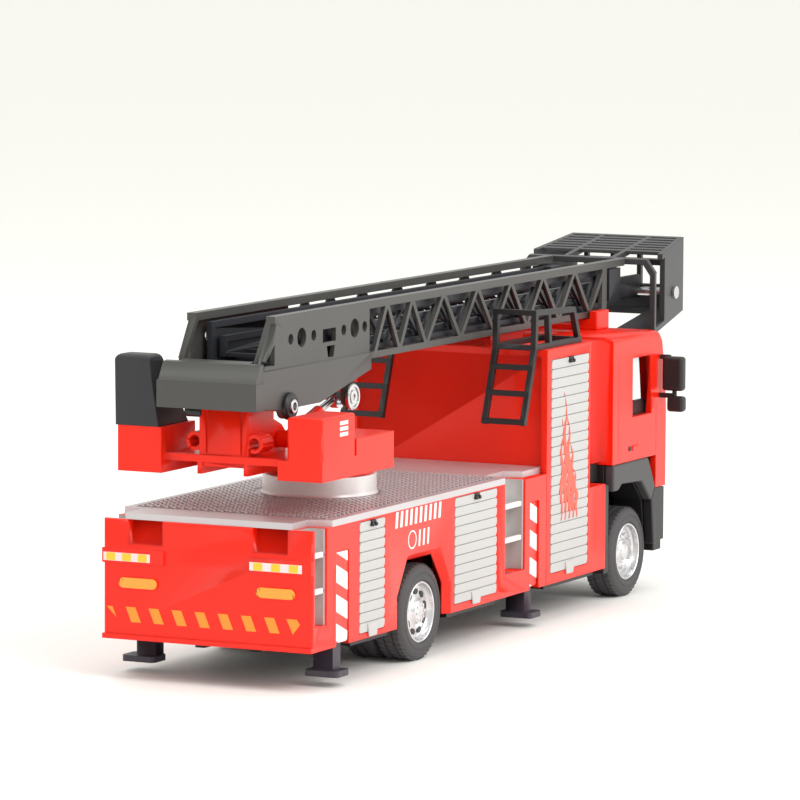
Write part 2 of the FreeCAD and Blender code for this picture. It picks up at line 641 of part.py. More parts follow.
def turntable_platform():
    """The red platform: turret, two side lockers, the rear cross bar and the ladder tower."""
    z = platform_z
    turret_low = deck_z + ring_height + turret_gap
    turret = upright(slew_x, 0, ring_radius - 0.6, turret_low, z + 3.2)
    spigot = upright(slew_x, 0, spigot_radius, rear_body_top - wall - 2.0, turret_low)
    back = platform_rear_x
    front = platform_front_x
    adds = [turret, spigot,
            block(pivot_x + 6, slew_x + 10, -13.2, 13.2, z, z + 3.6),
            block(back + 2.4, pivot_x + 10, -15.6, 15.6, z + 3.0, z + 4.5),
            block(back + 1.8, back + 3.6, -15.6, 15.6, z + 3.0, z + 4.8)]
    for y in (-6.2, 6.2):
        adds.append(block(back + 1.8, slew_x - ring_radius + 2, y - 0.6, y + 0.6, z + 0.2, z + 3.2))
    # right side: a low locker with a tall one on its back end
    adds.append(block(back, front, -platform_half, -15.6, z, z + 4.8))
    adds.append(block(pivot_x + 6.3, front, -platform_half, -15.6, z + 4.0, z + 8.8))
    tall_box = block(back, back + 17.5, -platform_half, 9.4 - platform_half, z + 4.0, z + 15.1)
    adds.append(rounded(tall_box, 0.7, lambda edge: edge.BoundBox.ZMax > z + 5))
    # left side: the same low locker under the operator's console
    adds.append(block(back, front, 15.6, platform_half, z, z + 4.8))
    adds.append(block(back, back + 17.0, 15.6, platform_half, z + 4.0, z + 11.0))
    # the tower that carries the ladder pivot and the feet of the lift cylinders
    foot_x = pivot_x + foot_dx
    foot_height = pivot_z - foot_drop
    tower = [(back + 2.4, z + 2.0), (foot_x + 3.4, z + 2.0), (foot_x + 3.4, foot_height + 1.6),
             (foot_x + 1.4, foot_height + 3.4), (pivot_x + 3.6, foot_height + 5.0), (pivot_x + 3.6, pivot_z + 1.6),
             (pivot_x + 1.8, pivot_z + 3.3), (pivot_x - 1.8, pivot_z + 3.3), (pivot_x - 4.6, pivot_z + 0.6),
             (back + 2.4, pivot_z - 0.9)]
    adds.append(slab(tower, "y", -6.6, 6.6))
    cuts = [across(pivot_x, pivot_z, pivot_pin_radius + pin_play, -8, 8),
            across(foot_x, foot_height, 1.0 + pin_play, -8, 8),
            upright(slew_x, 0, 0.95, 0, deck_z + 1)]
    for side in (1, -1):
        cuts.append(block(back + 1, back + 2.9, side * 4.4, side * 4.9, z + 5.2, pivot_z + 1))
    return without(joined(adds), cuts)


def turntable_screw():
    """The screw and washer under the deck that hold the turntable down."""
    low = rear_body_top - wall - 2.0
    washer = upright(slew_x, 0, spigot_radius + 2.0, low - 1.2, low)
    head = upright(slew_x, 0, 2.4, low - 2.8, low - 1.2)
    shank = upright(slew_x, 0, 0.9, low, low + 6.0)
    return joined([washer, head, shank])


def control_console():
    """The dark operator's console, which tapers towards its top."""
    z = platform_z + 11.0
    back = platform_rear_x
    low = [V(back, 16.4, z), V(back + 15, 16.4, z), V(back + 15, half, z), V(back, half, z)]
    high = [V(back + 1, 19.6, z + 17.0), V(back + 7, 19.6, z + 17.0), V(back + 7, half + 0.8, z + 17.0),
            V(back + 1, half + 0.8, z + 17.0)]
    body = Part.makeLoft([Part.makePolygon(ring + ring[:1]) for ring in (low, high)], True, True)
    return rounded(body, 1.6, lambda edge: edge.BoundBox.ZLength < 0.01 and edge.BoundBox.ZMin > z + 16)


def cylinder_foot_pin():
    return across(pivot_x + foot_dx, pivot_z - foot_drop, 1.0, -10.1, 10.1)


# Ladder

def pivot_pin():
    shank = across(pivot_x, pivot_z, pivot_pin_radius, -ladder_half - 0.6, ladder_half + 0.6)
    return shank


def ladder_rear_frame():
    """The hollow rear end of the ladder: open underneath, so that it passes the tower."""
    wide = ladder_half + 1.5
    low = pivot_z + 0.2
    x0 = frame_rear_x
    back = block(x0, x0 + 1.5, -wide, wide, low, low + 6.5)
    roof = slab([(x0, low + 6.0), (x0 + 2.7, low + 10.7), (x0 + 6.2, low + 11.2), (x0 + 6.2, low + 9.7),
                 (x0 + 3.5, low + 9.3), (x0 + 1.5, low + 5.6)], "y", -wide + 0.3, wide - 0.3)
    adds = [back, roof]
    for side in (1, -1):
        adds.append(block(x0, x0 + 4.3, side * (ladder_half - 1.0), side * wide, low, low + 6.5))
        adds.append(slab([(x0, low + 6.0), (x0 + 4.3, low + 6.0), (x0 + 4.3, low + 10.9), (x0 + 2.7, low + 10.7)],
                         "y", side * (ladder_half - 1.2), side * (wide - 0.3)))
    ends = [block(x0 + 4.3, x0 + 9, side * (ladder_half - 2.5), side * (wide + 1), low, low + 20) for side in (1, -1)]
    return without(joined(adds), ends)


def truss(x_start, x_end, z_low, z_high, y0, y1, width):
    """Zigzag bars between two rails; the panels are as equal as the length allows."""
    count = max(2, int(round((x_end - x_start) / panel * 2)))
    step = (x_end - x_start) / count
    bars = []
    for number in range(count):
        low_first = number % 2 == 0
        a = (x_start + number * step, z_low if low_first else z_high)
        b = (x_start + (number + 1) * step, z_high if low_first else z_low)
        bars.append(strut(a, b, width, y0, y1))
    return bars


def base_side(side):
    """One side of the base section: girder and pierced plate at the back, truss to the front."""
    inner = ladder_half - web
    z = rail_z
    top = ladder_top
    x0 = frame_rear_x + 4.3
    girder_end = pivot_x + 44.3
    girder = [(x0, pivot_z + 0.2), (pivot_x - 3.7, pivot_z - 0.7), (pivot_x + 17.0, pivot_z - 0.7),
              (girder_end - 3.4, pivot_z + 4.3), (girder_end, pivot_z + 5.0), (girder_end, z + 1.6), (x0, z + 1.6)]
    plate = [(x0 + 2.0, z + 1.0), (girder_end, z + 1.0), (girder_end, top - 1), (pivot_x - 4.6, top - 1)]
    rail_back = pivot_x - 5.9
    rail_front = basket_rear - 1.6

    def thick(a, b):
        return min(side * a, side * b), max(side * a, side * b)

    adds = [slab(girder, "y", *thick(inner, ladder_half + 0.5)),
            slab(plate, "y", *thick(inner, ladder_half)),
            block(rail_back, rail_front, side * (ladder_half - 2.4), side * ladder_half, top - rail_height, top),
            block(girder_end - 1, base_front, side * inner, side * ladder_half, z, z + 1.6),
            strut((x0 + 1.4, z + 1.6), (rail_back + 1.0, top - 1.0), 1.6, side * (ladder_half - 2.4), side * inner),
            block(base_front - 3.0, base_front, side * inner, side * ladder_half, z, top)]
    nodes = [(girder_end + 3.0, z + 0.8), (girder_end + 10.0, top - 1.2), (girder_end + 17.0, z + 0.8),
             (girder_end + 24.0, top - 1.2)]
    x = girder_end + 32.0
    while x + panel / 2 < base_front:
        nodes += [(x, z + 0.8), (x + panel / 2, top - 1.2)]
        x += panel
    adds += [strut(a, b, brace, side * inner, side * ladder_half) for a, b in zip(nodes, nodes[1:])]
    adds.append(strut((pivot_x + head_dx, pivot_z - head_drop), (pivot_x + head_dx, z + 1.0), 4.4,
                      side * inner, side * ladder_half))
    cuts = [across(pivot_x, pivot_z, pivot_pin_radius, -30, 30), across(pivot_x + head_dx, pivot_z - head_drop,
                                                                       1.1, -30, 30)]
    hole_z = z + 8.2
    for x, radius in ((2.3, 1.3), (8.0, 2.3), (14.3, 1.3), (30.3, 1.3), (36.2, 2.3), (41.6, 1.3)):
        cuts.append(across(pivot_x + x, hole_z, radius, -30, 30))
    cuts.append(slab([(pivot_x + 19.1, hole_z - 2.2), (pivot_x + 26.0, hole_z - 2.2), (pivot_x + 26.0, hole_z + 1.0),
                      (pivot_x + 19.1, hole_z + 1.0)], "y", -30, 30))
    cuts.append(slab([(pivot_x + 21.9, z + 2.2), (pivot_x + 24.8, z + 2.2), (pivot_x + 25.5, z + 5.0),
                      (pivot_x + 21.2, z + 5.0)], "y", -30, 30))
    cuts.append(slab([(pivot_x - 11.6, z + 2.6), (pivot_x - 6.0, z + 2.6), (pivot_x - 6.0, z + 7.6)], "y", -30, 30))
    boss = across(pivot_x, pivot_z, 3.1, *thick(inner, ladder_half + 0.5))
    eye = across(pivot_x + head_dx, pivot_z - head_drop, 2.4, *thick(inner, ladder_half))
    return without(joined(adds + [boss, eye]), cuts)


def base_rungs():
    """The floor plate and rungs that join the two sides of the base section."""
    inner = ladder_half - web
    floor = block(pivot_x - 2.0, pivot_x + 22.0, -inner, inner, rail_z, rail_z + 1.0)
    start = pivot_x + 28.0
    count = int((base_front - 2.0 - start) / rung_pitch)
    rungs = [block(start + n * rung_pitch, start + n * rung_pitch + 1.6, -inner, inner, rail_z, rail_z + 1.2)
             for n in range(count + 1)]
    return Part.makeCompound([floor] + rungs)


def inner_section(outer, low, high, x0, x1, plate_end):
    """A sliding ladder section: two truss sides, plated at the back, and their rungs in one moulding."""
    inner = outer - inner_web
    adds = []
    for side in (1, -1):
        adds.append(block(x0, x1, side * inner, side * outer, high - 1.6, high))
        adds.append(block(x0, x1, side * inner, side * outer, low, low + 1.3))
        for x in (x0, x1 - 1.6):
            adds.append(block(x, x + 1.6, side * inner, side * outer, low, high))
        adds += truss(x0 + 0.8, x1 - 0.8, low + 0.6, high - 0.8, side * (outer - 1.0), side * outer, 1.0)
        adds.append(block(x0, plate_end, side * (outer - 1.0), side * outer, low, high))
    count = int((x1 - x0 - 2.0) / rung_pitch)
    for n in range(count + 1):
        x = x0 + 0.6 + n * (x1 - x0 - 2.4) / count
        adds.append(block(x, x + 1.2, -inner - 0.2, inner + 0.2, low, low + 1.0))
    return joined(adds)


def middle_section():
    return inner_section(middle_outer, middle_low, ladder_top - 2.4, pivot_x - 1.0, base_front + 2.0, pivot_x + 44.0)


def top_section():
    """The innermost section, whose solid tip plates carry the basket."""
    body = inner_section(top_outer, top_low, top_high, pivot_x + 2.0, base_front + 4.0, pivot_x + 30.0)
    tips = []
    for side in (1, -1):
        y = (side * (top_outer - inner_web), side * top_outer)
        tips.append(block(base_front + 2.6, tip_x + 2.0, *y, hub_z - 1.9, top_high))
        tips.append(block(base_front + 2.6, basket_rear - 3.4, side * (top_outer - inner_web),
                          side * (ladder_half - 0.4), top_low, ladder_top - rail_height - 0.4))
    return joined([body] + tips).cut(across(tip_x, hub_z, hub_radius, -20, 20))


def basket_pin():
    """The cross pin in the ladder's tip, with a rivet head outside each side of the basket."""
    side_y = basket_y(tip_x)
    adds = [across(tip_x, hub_z, hub_radius, -side_y - 0.6, side_y + 0.6)]
    for side in (1, -1):
        adds.append(across(tip_x, hub_z, 1.7, side * (side_y + 0.4), side * (side_y + 1.0)))
    return joined(adds)


def basket_y(x):
    """Half width of the basket, which narrows towards its front."""
    share = (x - basket_rear) / (basket_front - basket_rear)
    return basket_half_rear + (basket_half_front - basket_half_rear) * share


def basket_z(x, at_rear):
    """Height of a line that climbs towards the front as the basket's floor and top do."""
    return at_rear + 4.4 * (x - basket_rear) / (basket_front - basket_rear)


def basket():
    """An open cage: two side panels, rear posts, a slatted top, a barred front and a split floor."""
    rear = basket_rear
    front = basket_front
    low = pivot_z + 1.3
    high = low + 20.2

    def band(x0, x1, z_from, z_to):
        return [(x0, basket_z(x0, z_from)), (x1, basket_z(x1, z_from)),
                (x1, basket_z(x1, z_to)), (x0, basket_z(x0, z_to))]

    adds = []
    for side in (1, -1):
        plan = slab([(rear, side * basket_half_rear), (front, side * basket_half_front),
                     (front, side * (basket_half_front - bar)), (rear, side * (basket_half_rear - bar))],
                    "z", low - 5, high + 10)
        view = [slab(band(rear + 9.4, front, low, high), "y", -30, 30),
                slab(band(rear, rear + bar, low, high), "y", -30, 30),
                slab(band(rear + 7.0, front, high - bar, high), "y", -30, 30),
                slab(band(rear, front, low, low + bar), "y", -30, 30)]
        adds.append(joined(view).common(plan))
        strip = slab([(rear, side * 8.8), (rear, side * (basket_half_rear - 0.5)),
                      (front, side * (basket_half_front - 0.5)), (front, side * 8.8)], "z", low - 5, high + 10)
        adds.append(strip.common(slab(band(rear, front, low, low + 1.2), "y", -30, 30)))
    span = slab([(rear, basket_half_rear - 0.5), (front, basket_half_front - 0.5),
                 (front, 0.5 - basket_half_front), (rear, 0.5 - basket_half_rear)], "z", low - 5, high + 10)
    crossing = [band(rear, rear + bar, high - bar, high), band(front - 6.0, front, low, low + 1.2),
                band(front - bar, front, high - bar, high), band(front - bar, front, low, low + 7.0),
                band(front - bar, front, low + 12.4, low + 14.0)]
    slats = 6
    pitch = (front - bar - rear - 9.0) / slats
    for number in range(slats):
        x = rear + 9.0 + number * pitch
        crossing.append(band(x, x + pitch * 0.55, high - 0.9, high))
    adds += [slab(outline, "y", -30, 30).common(span) for outline in crossing]
    for y in (-12.0, -4.0, 4.0, 12.0):
        adds.append(slab(band(front - bar, front, low, high), "y", y - 0.6, y + 0.6))
    for y in (-7.0, 7.0):
        adds.append(slab(band(rear, front, high - bar, high), "y", y - 0.7, y + 0.7))
    cuts = [across(tip_x, hub_z, hub_radius + pin_play, -30, 30)]
    for side in (1, -1):
        edge_y = side * basket_half_rear
        brace_view = [(edge_y, high - 3.6), (edge_y - side * 2.6, high), (edge_y - side * 4.6, high),
                      (edge_y - side * bar, high - 4.4)]
        adds.append(slab(brace_view, "x", rear, rear + bar))
        corner = [(edge_y, high - 3.6), (edge_y - side * 2.6, high), (edge_y - side * 2.6, high + 1),
                  (edge_y + side, high + 1), (edge_y + side, high - 3.6)]
        cuts.append(slab(corner, "x", rear - 1, rear + 3.0))
    return without(joined(adds), cuts)


# Lift cylinders

def along_cylinder(distance, y):
    """A point on a cylinder's centre line, measured from its foot towards the head pin."""
    fx = pivot_x + foot_dx
    fz = pivot_z - foot_drop
    hx = pivot_x + head_dx
    hz = pivot_z - head_drop
    length = math.hypot(hx - fx, hz - fz)
    return V(fx + (hx - fx) / length * distance, y, fz + (hz - fz) / length * distance)


def cylinder_length():
    return math.hypot(head_dx - foot_dx, foot_drop - head_drop)


def lift_tubes():
    tubes = []
    for side in (1, -1):
        y = side * cylinder_y
        barrel = rod(along_cylinder(0, y), along_cylinder(tube_length, y), tube_radius)
        eye = across(pivot_x + foot_dx, pivot_z - foot_drop, 2.1, y - 1.65, y + 1.65)
        bore = rod(along_cylinder(3.0, y), along_cylinder(tube_length + 1, y), rod_radius + rod_play)
        pin = across(pivot_x + foot_dx, pivot_z - foot_drop, 1.0 + pin_play, y - 5, y + 5)
        tubes.append(without(joined([barrel, eye]), [bore, pin]))
    return Part.makeCompound(tubes)


def lift_rods():
    rods = []
    for side in (1, -1):
        y = side * cylinder_y
        hx = pivot_x + head_dx
        hz = pivot_z - head_drop
        shaft = rod(along_cylinder(4.0, y), along_cylinder(cylinder_length() - 2.6, y), rod_radius)
        eye = across(hx, hz, 1.1 + eye_play + 0.9, y - 1.0, y + 1.0)
        hole = across(hx, hz, 1.1 + eye_play, y - 5, y + 5)
        rods.append(joined([shaft, eye]).cut(hole))
    return Part.makeCompound(rods)


def cylinder_head_pin():
    hx = pivot_x + head_dx
    hz = pivot_z - head_drop
    adds = [across(hx, hz, 1.1, -ladder_half - 0.5, ladder_half + 0.5)]
    for side in (1, -1):
        adds.append(across(hx, hz, 3.2, side * (ladder_half + 0.5), side * (ladder_half + 1.1)))
    return joined(adds)


# Sizes of the inner sections and the tip
middle_outer = ladder_half - 2.4 - section_gap
top_outer = middle_outer - inner_web - section_gap
middle_low = rail_z + section_rise
top_low = middle_low + section_rise
top_high = ladder_top - 5.9
tip_x = cab_front + tip_reach
hub_z = pivot_z + 11.4

names = {1: "left", -1: "right"}
pieces = {
    "rear_body_shell": rear_body_shell(), "module_shell": module_shell(), "deck_plate": deck_plate(),
    "turntable_ring": turntable_ring(), "rear_lamps": rear_lamps(), "chassis_base": chassis_base(),
    "base_screws": base_screws(), "link_block": link_block(), "cab_shell": cab_shell(),
    "windscreen": windscreen(), "front_grille": front_grille(), "cab_interior": cab_interior(),
    "steering_wheel": steering_wheel(), "front_bumper": front_bumper(), "bumper_skirt": bumper_skirt(),
    "headlamps": headlamps(), "sun_visor": sun_visor(), "ladder_rest": ladder_rest(),
    "rear_axle": axle("rear"), "front_axle": axle("front"),
    "turntable_platform": turntable_platform(), "turntable_screw": turntable_screw(),
    "control_console": control_console(), "cylinder_foot_pin": cylinder_foot_pin(),
    "pivot_pin": pivot_pin(), "ladder_rear_frame": ladder_rear_frame(), "ladder_base_rungs": base_rungs(),
    "cylinder_head_pin": cylinder_head_pin(), "lift_tubes": lift_tubes(), "lift_rods": lift_rods(),
    "ladder_middle_section": middle_section(), "ladder_top_section": top_section(),
    "basket_pin": basket_pin(), "basket": basket(),
}
for row, (x0, x1, z0, z1) in shutter_bays.items():
    pieces[f"shutters_{row}"] = both_sides(shutter, x0, x1, z0, z1)
start, end, low, high = tall_shutter
pieces["shutters_tall"] = both_sides(shutter, module_x + start, module_x + end, low, high)
pieces["fenders"] = both_sides(fender)
pieces["mirrors"] = both_sides(mirror)
pieces["climb_ladders"] = both_sides(climb_ladder)
for side, name in names.items():
    pieces[f"step_inserts_{name}"] = Part.makeCompound([step_insert(side, span) for span in step_bays])
    for row in ("rear", "front"):
        pieces[f"outrigger_{row}_{name}"] = outrigger_beam(side, row)
        pieces[f"outrigger_foot_{row}_{name}"] = outrigger_foot(side, row)
        pieces[f"tyre_{row}_{name}"] = tyre(row, side)
        pieces[f"rim_{row}_{name}"] = rim(row, side)
    pieces[f"ladder_base_{name}"] = base_side(side)

for name, shape in pieces.items():
    moved = shape.copy()
    moved.translate(V(-middle_x, 0, 0))
    moved.exportStep(f"parts/{name}.step")
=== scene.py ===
import bpy
import bmesh
import json
import math
from mathutils import Matrix, Vector


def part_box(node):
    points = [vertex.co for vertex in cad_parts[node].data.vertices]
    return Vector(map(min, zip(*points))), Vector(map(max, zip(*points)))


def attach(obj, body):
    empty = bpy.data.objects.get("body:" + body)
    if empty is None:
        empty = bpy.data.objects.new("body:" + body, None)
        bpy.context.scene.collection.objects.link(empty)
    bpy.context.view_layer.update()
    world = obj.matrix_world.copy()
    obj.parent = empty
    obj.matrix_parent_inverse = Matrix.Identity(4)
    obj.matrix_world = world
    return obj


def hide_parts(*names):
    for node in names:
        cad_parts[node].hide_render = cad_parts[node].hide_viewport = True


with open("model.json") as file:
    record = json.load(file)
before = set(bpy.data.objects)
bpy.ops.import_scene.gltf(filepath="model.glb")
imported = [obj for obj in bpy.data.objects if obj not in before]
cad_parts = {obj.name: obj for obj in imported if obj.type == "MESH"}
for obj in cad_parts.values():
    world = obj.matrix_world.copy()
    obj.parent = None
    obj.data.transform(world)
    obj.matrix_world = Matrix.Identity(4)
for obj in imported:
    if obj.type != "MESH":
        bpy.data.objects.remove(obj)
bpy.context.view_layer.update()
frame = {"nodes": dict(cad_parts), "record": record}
mm = 0.001
print("frame loaded:", len(frame["nodes"]), "nodes")

# Everything is set out in millimetres from the rear panel, as the body maker would: x forward, y left, z up.
lipDepth = 0.7
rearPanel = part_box("rear_body_shell")[0].x + lipDepth * mm
slotOf = {row["node"]: row["material_slot"] for row in frame["record"]["subparts"]}
bodyOf = {node: body for body, nodes in frame["record"]["behaviour"]["bodies"].items() for node in nodes}


def at(x, y, z):
    return Vector((rearPanel + x * mm, y * mm, z * mm))


# Camera

viewpoint = {"place": (-1103.07, -591.95, 198.93), "yaw": 26.140, "pitch": 5.958, "roll": 0.2919,
             "lens": 240.28}


def setCamera(view):
    yaw, pitch, roll = (math.radians(view[key]) for key in ("yaw", "pitch", "roll"))
    ahead = Vector((math.cos(yaw) * math.cos(pitch), math.sin(yaw) * math.cos(pitch), -math.sin(pitch)))
    level = Vector((math.sin(yaw), -math.cos(yaw), 0))
    upward = level.cross(ahead)
    right = level * math.cos(roll) + upward * math.sin(roll)
    top = upward * math.cos(roll) - level * math.sin(roll)
    turn = Matrix((right, top, -ahead)).transposed()
    camera = bpy.data.objects.new("camera", bpy.data.cameras.new("camera"))
    bpy.context.scene.collection.objects.link(camera)
    camera.data.sensor_width = 36
    camera.data.lens = view["lens"]
    camera.data.clip_start = 0.05
    camera.data.clip_end = 100
    camera.matrix_world = Matrix.Translation(at(*view["place"])) @ turn.to_4x4()
    bpy.context.scene.camera = camera


setCamera(viewpoint)


# Materials

def linear(hexText):
    parts = [int(hexText[i:i + 2], 16) / 255 for i in (1, 3, 5)]
    return tuple(c / 12.92 if c <= 0.04045 else ((c + 0.055) / 1.055) ** 2.4 for c in parts) + (1.0,)


def addNode(tree, kind, settings=None, links=None):
    node = tree.nodes.new(kind)
    for key, value in (settings or {}).items():
        if isinstance(key, int) or not hasattr(node, key):
            node.inputs[key].default_value = value
        else:
            setattr(node, key, value)
    for key, source in (links or {}).items():
        tree.links.new(source, node.inputs[key])
    return node


def blankMaterial(name):
    material = bpy.data.materials.new(name)
    material.use_nodes = True
    material.node_tree.nodes.clear()
    return material, material.node_tree


def surface(name, light, dark, rough, grain, lift, edge=0.0, **settings):
    # light and dark are the two tones the surface clouds between; rough is the range of roughness;
    # grain is the size in mm of the moulded or sprayed texture and lift its height in mm;
    # edge is the radius in mm that light reads on edges which have no round of their own
    material, tree = blankMaterial(name)
    place = addNode(tree, "ShaderNodeTexCoord").outputs["Object"]
    cloud = addNode(tree, "ShaderNodeTexNoise", {"Scale": 1 / (18 * mm), "Detail": 4.0, "Roughness": 0.6},
                    {"Vector": place})
    tone = addNode(tree, "ShaderNodeMix", {"data_type": "RGBA", 6: linear(dark), 7: linear(light)},
                   {0: cloud.outputs["Fac"]})
    texture = addNode(tree, "ShaderNodeTexNoise", {"Scale": 1 / (grain * mm), "Detail": 3.0},
                      {"Vector": place})
    polish = addNode(tree, "ShaderNodeMapRange", {"To Min": rough[0], "To Max": rough[1]},
                     {"Value": texture.outputs["Fac"]})
    relief = addNode(tree, "ShaderNodeBump", {"Strength": 1.0, "Distance": lift * mm},
                     {"Height": texture.outputs["Fac"]})
    if edge:
        softened = addNode(tree, "ShaderNodeBevel", {"samples": 4, "Radius": edge * mm})
        tree.links.new(softened.outputs[0], relief.inputs["Normal"])
    shader = addNode(tree, "ShaderNodeBsdfPrincipled", settings,
                     {"Base Color": tone.outputs[2], "Roughness": polish.outputs[0],
                      "Normal": relief.outputs[0]})
    addNode(tree, "ShaderNodeOutputMaterial", None, {"Surface": shader.outputs[0]})
    return material


def clearPlastic(name):
    material, tree = blankMaterial(name)
    place = addNode(tree, "ShaderNodeTexCoord").outputs["Object"]
    ripple = addNode(tree, "ShaderNodeTexNoise", {"Scale": 1 / (6 * mm)}, {"Vector": place})
    relief = addNode(tree, "ShaderNodeBump", {"Distance": 0.01 * mm}, {"Height": ripple.outputs["Fac"]})
    shader = addNode(tree, "ShaderNodeBsdfPrincipled",
                     {"Base Color": (0.9, 0.94, 0.96, 1), "Roughness": 0.03, "IOR": 1.49,
                      "Transmission Weight": 1.0},
                     {"Normal": relief.outputs[0]})
    addNode(tree, "ShaderNodeOutputMaterial", None, {"Surface": shader.outputs[0]})
    return material


def stripedPrint(name, first, second, pitch, lean, share):
    # slanted warning stripes: lean is how far a stripe moves along x for each mm of height
    material, tree = blankMaterial(name)
    place = addNode(tree, "ShaderNodeTexCoord").outputs["Object"]
    axes = addNode(tree, "ShaderNodeSeparateXYZ", None, {"Vector": place})
    slant = addNode(tree, "ShaderNodeMath", {"operation": "MULTIPLY_ADD", 1: lean},
                    {0: axes.outputs["X"], 2: axes.outputs["Z"]})
    cycle = addNode(tree, "ShaderNodeMath", {"operation": "WRAP", 1: pitch * mm, 2: 0.0},
                    {0: slant.outputs[0]})
    band = addNode(tree, "ShaderNodeMath", {"operation": "LESS_THAN", 1: pitch * mm * share},
                   {0: cycle.outputs[0]})
    tone = addNode(tree, "ShaderNodeMix", {"data_type": "RGBA", 6: linear(first), 7: linear(second)},
                   {0: band.outputs[0]})
    texture = addNode(tree, "ShaderNodeTexNoise", {"Scale": 1 / (0.5 * mm)}, {"Vector": place})
    relief = addNode(tree, "ShaderNodeBump", {"Distance": 0.004 * mm}, {"Height": texture.outputs["Fac"]})
    shader = addNode(tree, "ShaderNodeBsdfPrincipled", {"Roughness": 0.32},
                     {"Base Color": tone.outputs[2], "Normal": relief.outputs[0]})
    addNode(tree, "ShaderNodeOutputMaterial", None, {"Surface": shader.outputs[0]})
    return material


# sprayed enamel on die-cast metal: deep gloss under a clear coat, with a faint orange peel
redEnamel = surface("redEnamel", "#f2240a", "#ed1d07", (0.26, 0.34), 2.4, 0.0012, 0.45,
                    **{"IOR": 1.3, "Coat Weight": 0.3, "Coat Roughness": 0.1})
# moulded ABS: even colour, a softer gloss, fine mould texture
redAbs = surface("redAbs", "#f4270b", "#ee1f08", (0.30, 0.40), 1.6, 0.0012, 0.45,
                 **{"IOR": 1.3, "Coat Weight": 0.25, "Coat Roughness": 0.15})
# silver lacquer with fine flake on the tread plate
silverLacquer = surface("silverLacquer", "#cdc8c9", "#beb8bb", (0.26, 0.40), 0.3, 0.004, 0.2,
                        **{"Metallic": 0.45})
# the same lacquer, darker in the hollows between the raised treads as painted shade
shadedTreadLacquer = surface("shadedTreadLacquer", "#a29899", "#8d8385", (0.34, 0.50), 0.3, 0.006, **{"Metallic": 0.5})
# pale silver lacquer on smooth ABS
paleSilver = surface("paleSilver", "#e4e1e0", "#d8d5d4", (0.30, 0.42), 0.4, 0.004, **{"Metallic": 0.25})
# light grey printed ABS, semi-gloss
shutterGrey = surface("shutterGrey", "#bcbcbb", "#b6b6b5", (0.36, 0.46), 0.5, 0.003)
# grey ABS in the step bays, satin
bayGrey = surface("bayGrey", "#aaa6a4", "#9b9795", (0.42, 0.55), 0.4, 0.005)
# satin moulded ABS of the ladder, warm grey with a fine spark-eroded grain
ladderGrey = surface("ladderGrey", "#484846", "#3f3f3d", (0.32, 0.44), 0.35, 0.006, 0.2)
# darker ABS of the sliding sections, nearly black with a cool cast
sectionDark = surface("sectionDark", "#2e3037", "#24262c", (0.36, 0.50), 0.35, 0.006, 0.2)
# dark satin ABS, cooler grey, of the console and the basket
darkGrey = surface("darkGrey", "#3d3e41", "#323336", (0.36, 0.50), 0.35, 0.007, 0.35)
# blacker ABS of the operator's console, with the same grain
consoleBlack = surface("consoleBlack", "#2b2c30", "#232428", (0.36, 0.50), 0.35, 0.006, 0.6)
# black polypropylene, low sheen
blackPlastic = surface("blackPlastic", "#201f22", "#161618", (0.36, 0.52), 0.35, 0.006, 0.3)
# the same polypropylene, paler and with a violet cast, of the outrigger feet
footPlastic = surface("footPlastic", "#3d3944", "#312e38", (0.36, 0.52), 0.35, 0.006, 0.3)
# dark grey moulded wheel-arch trim, satin
archGrey = surface("archGrey", "#474648", "#3b3a3c", (0.40, 0.55), 0.35, 0.008, 0.5)
# soft PVC tyre, nearly matt with a powdery bloom
tyreVinyl = surface("tyreVinyl", "#4b494b", "#3d3b3d", (0.55, 0.75), 0.3, 0.010)
# vacuum-plated ABS, bright but a little cloudy
platedChrome = surface("platedChrome", "#dcdcdd", "#cfcfd2", (0.20, 0.30), 1.5, 0.003, **{"Metallic": 1.0})
# turned plain steel with fine drawing marks
drawnSteel = surface("drawnSteel", "#a9a9aa", "#969698", (0.28, 0.42), 0.25, 0.004, **{"Metallic": 1.0})
# pad-printed inks: thin, flat colour with a low gloss
amberInk = surface("amberInk", "#f6a63e", "#f19a2e", (0.30, 0.42), 0.5, 0.003)
orangeInk = surface("orangeInk", "#f3962c", "#ee8c20", (0.36, 0.48), 0.5, 0.003)
yellowInk = surface("yellowInk", "#f2c92f", "#ecbf25", (0.30, 0.42), 0.5, 0.003)
pinkWhiteInk = surface("pinkWhiteInk", "#f6dfe0", "#f0d4d6", (0.26, 0.38), 0.5, 0.003)
whiteInk = surface("whiteInk", "#f7efee", "#f1e6e5", (0.32, 0.44), 0.5, 0.003)
flameInk = surface("flameInk", "#e2604c", "#d84f3c", (0.36, 0.48), 0.5, 0.003)
# dark shut lines with painted recess shadow, in ink
seamShadowInk = surface("seamShadowInk", "#7d0d06", "#6c0a04", (0.5, 0.6), 0.5, 0.003)
windowClear = clearPlastic("windowClear")
warningStripes = stripedPrint("warningStripes", "#f2281a", "#f4f1ee", 7.0, 0.42, 0.6)
print("materials mixed")


# Making pieces

def settle(piece, body, slot, *replaced):
    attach(piece, body)
    if replaced:
        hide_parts(*replaced)
    return piece


def newObject(name, mesh, material):
    piece = bpy.data.objects.new(name, mesh)
    bpy.context.scene.collection.objects.link(piece)
    mesh.materials.clear()
    mesh.materials.append(material)
    return piece


def smooth(mesh, degrees=35):
    mesh.polygons.foreach_set("use_smooth", [True] * len(mesh.polygons))
    mesh.set_sharp_from_angle(angle=math.radians(degrees))


def softenEdges(piece, radius, segments=2, degrees=38):
    bevel = piece.modifiers.new("softEdges", "BEVEL")
    bevel.width = radius * mm
    bevel.segments = segments
    bevel.limit_method = "ANGLE"
    bevel.angle_limit = math.radians(degrees)
    bevel.use_clamp_overlap = False
    even = piece.modifiers.new("evenFlats", "WEIGHTED_NORMAL")
    even.weight = 100
    even.keep_sharp = True


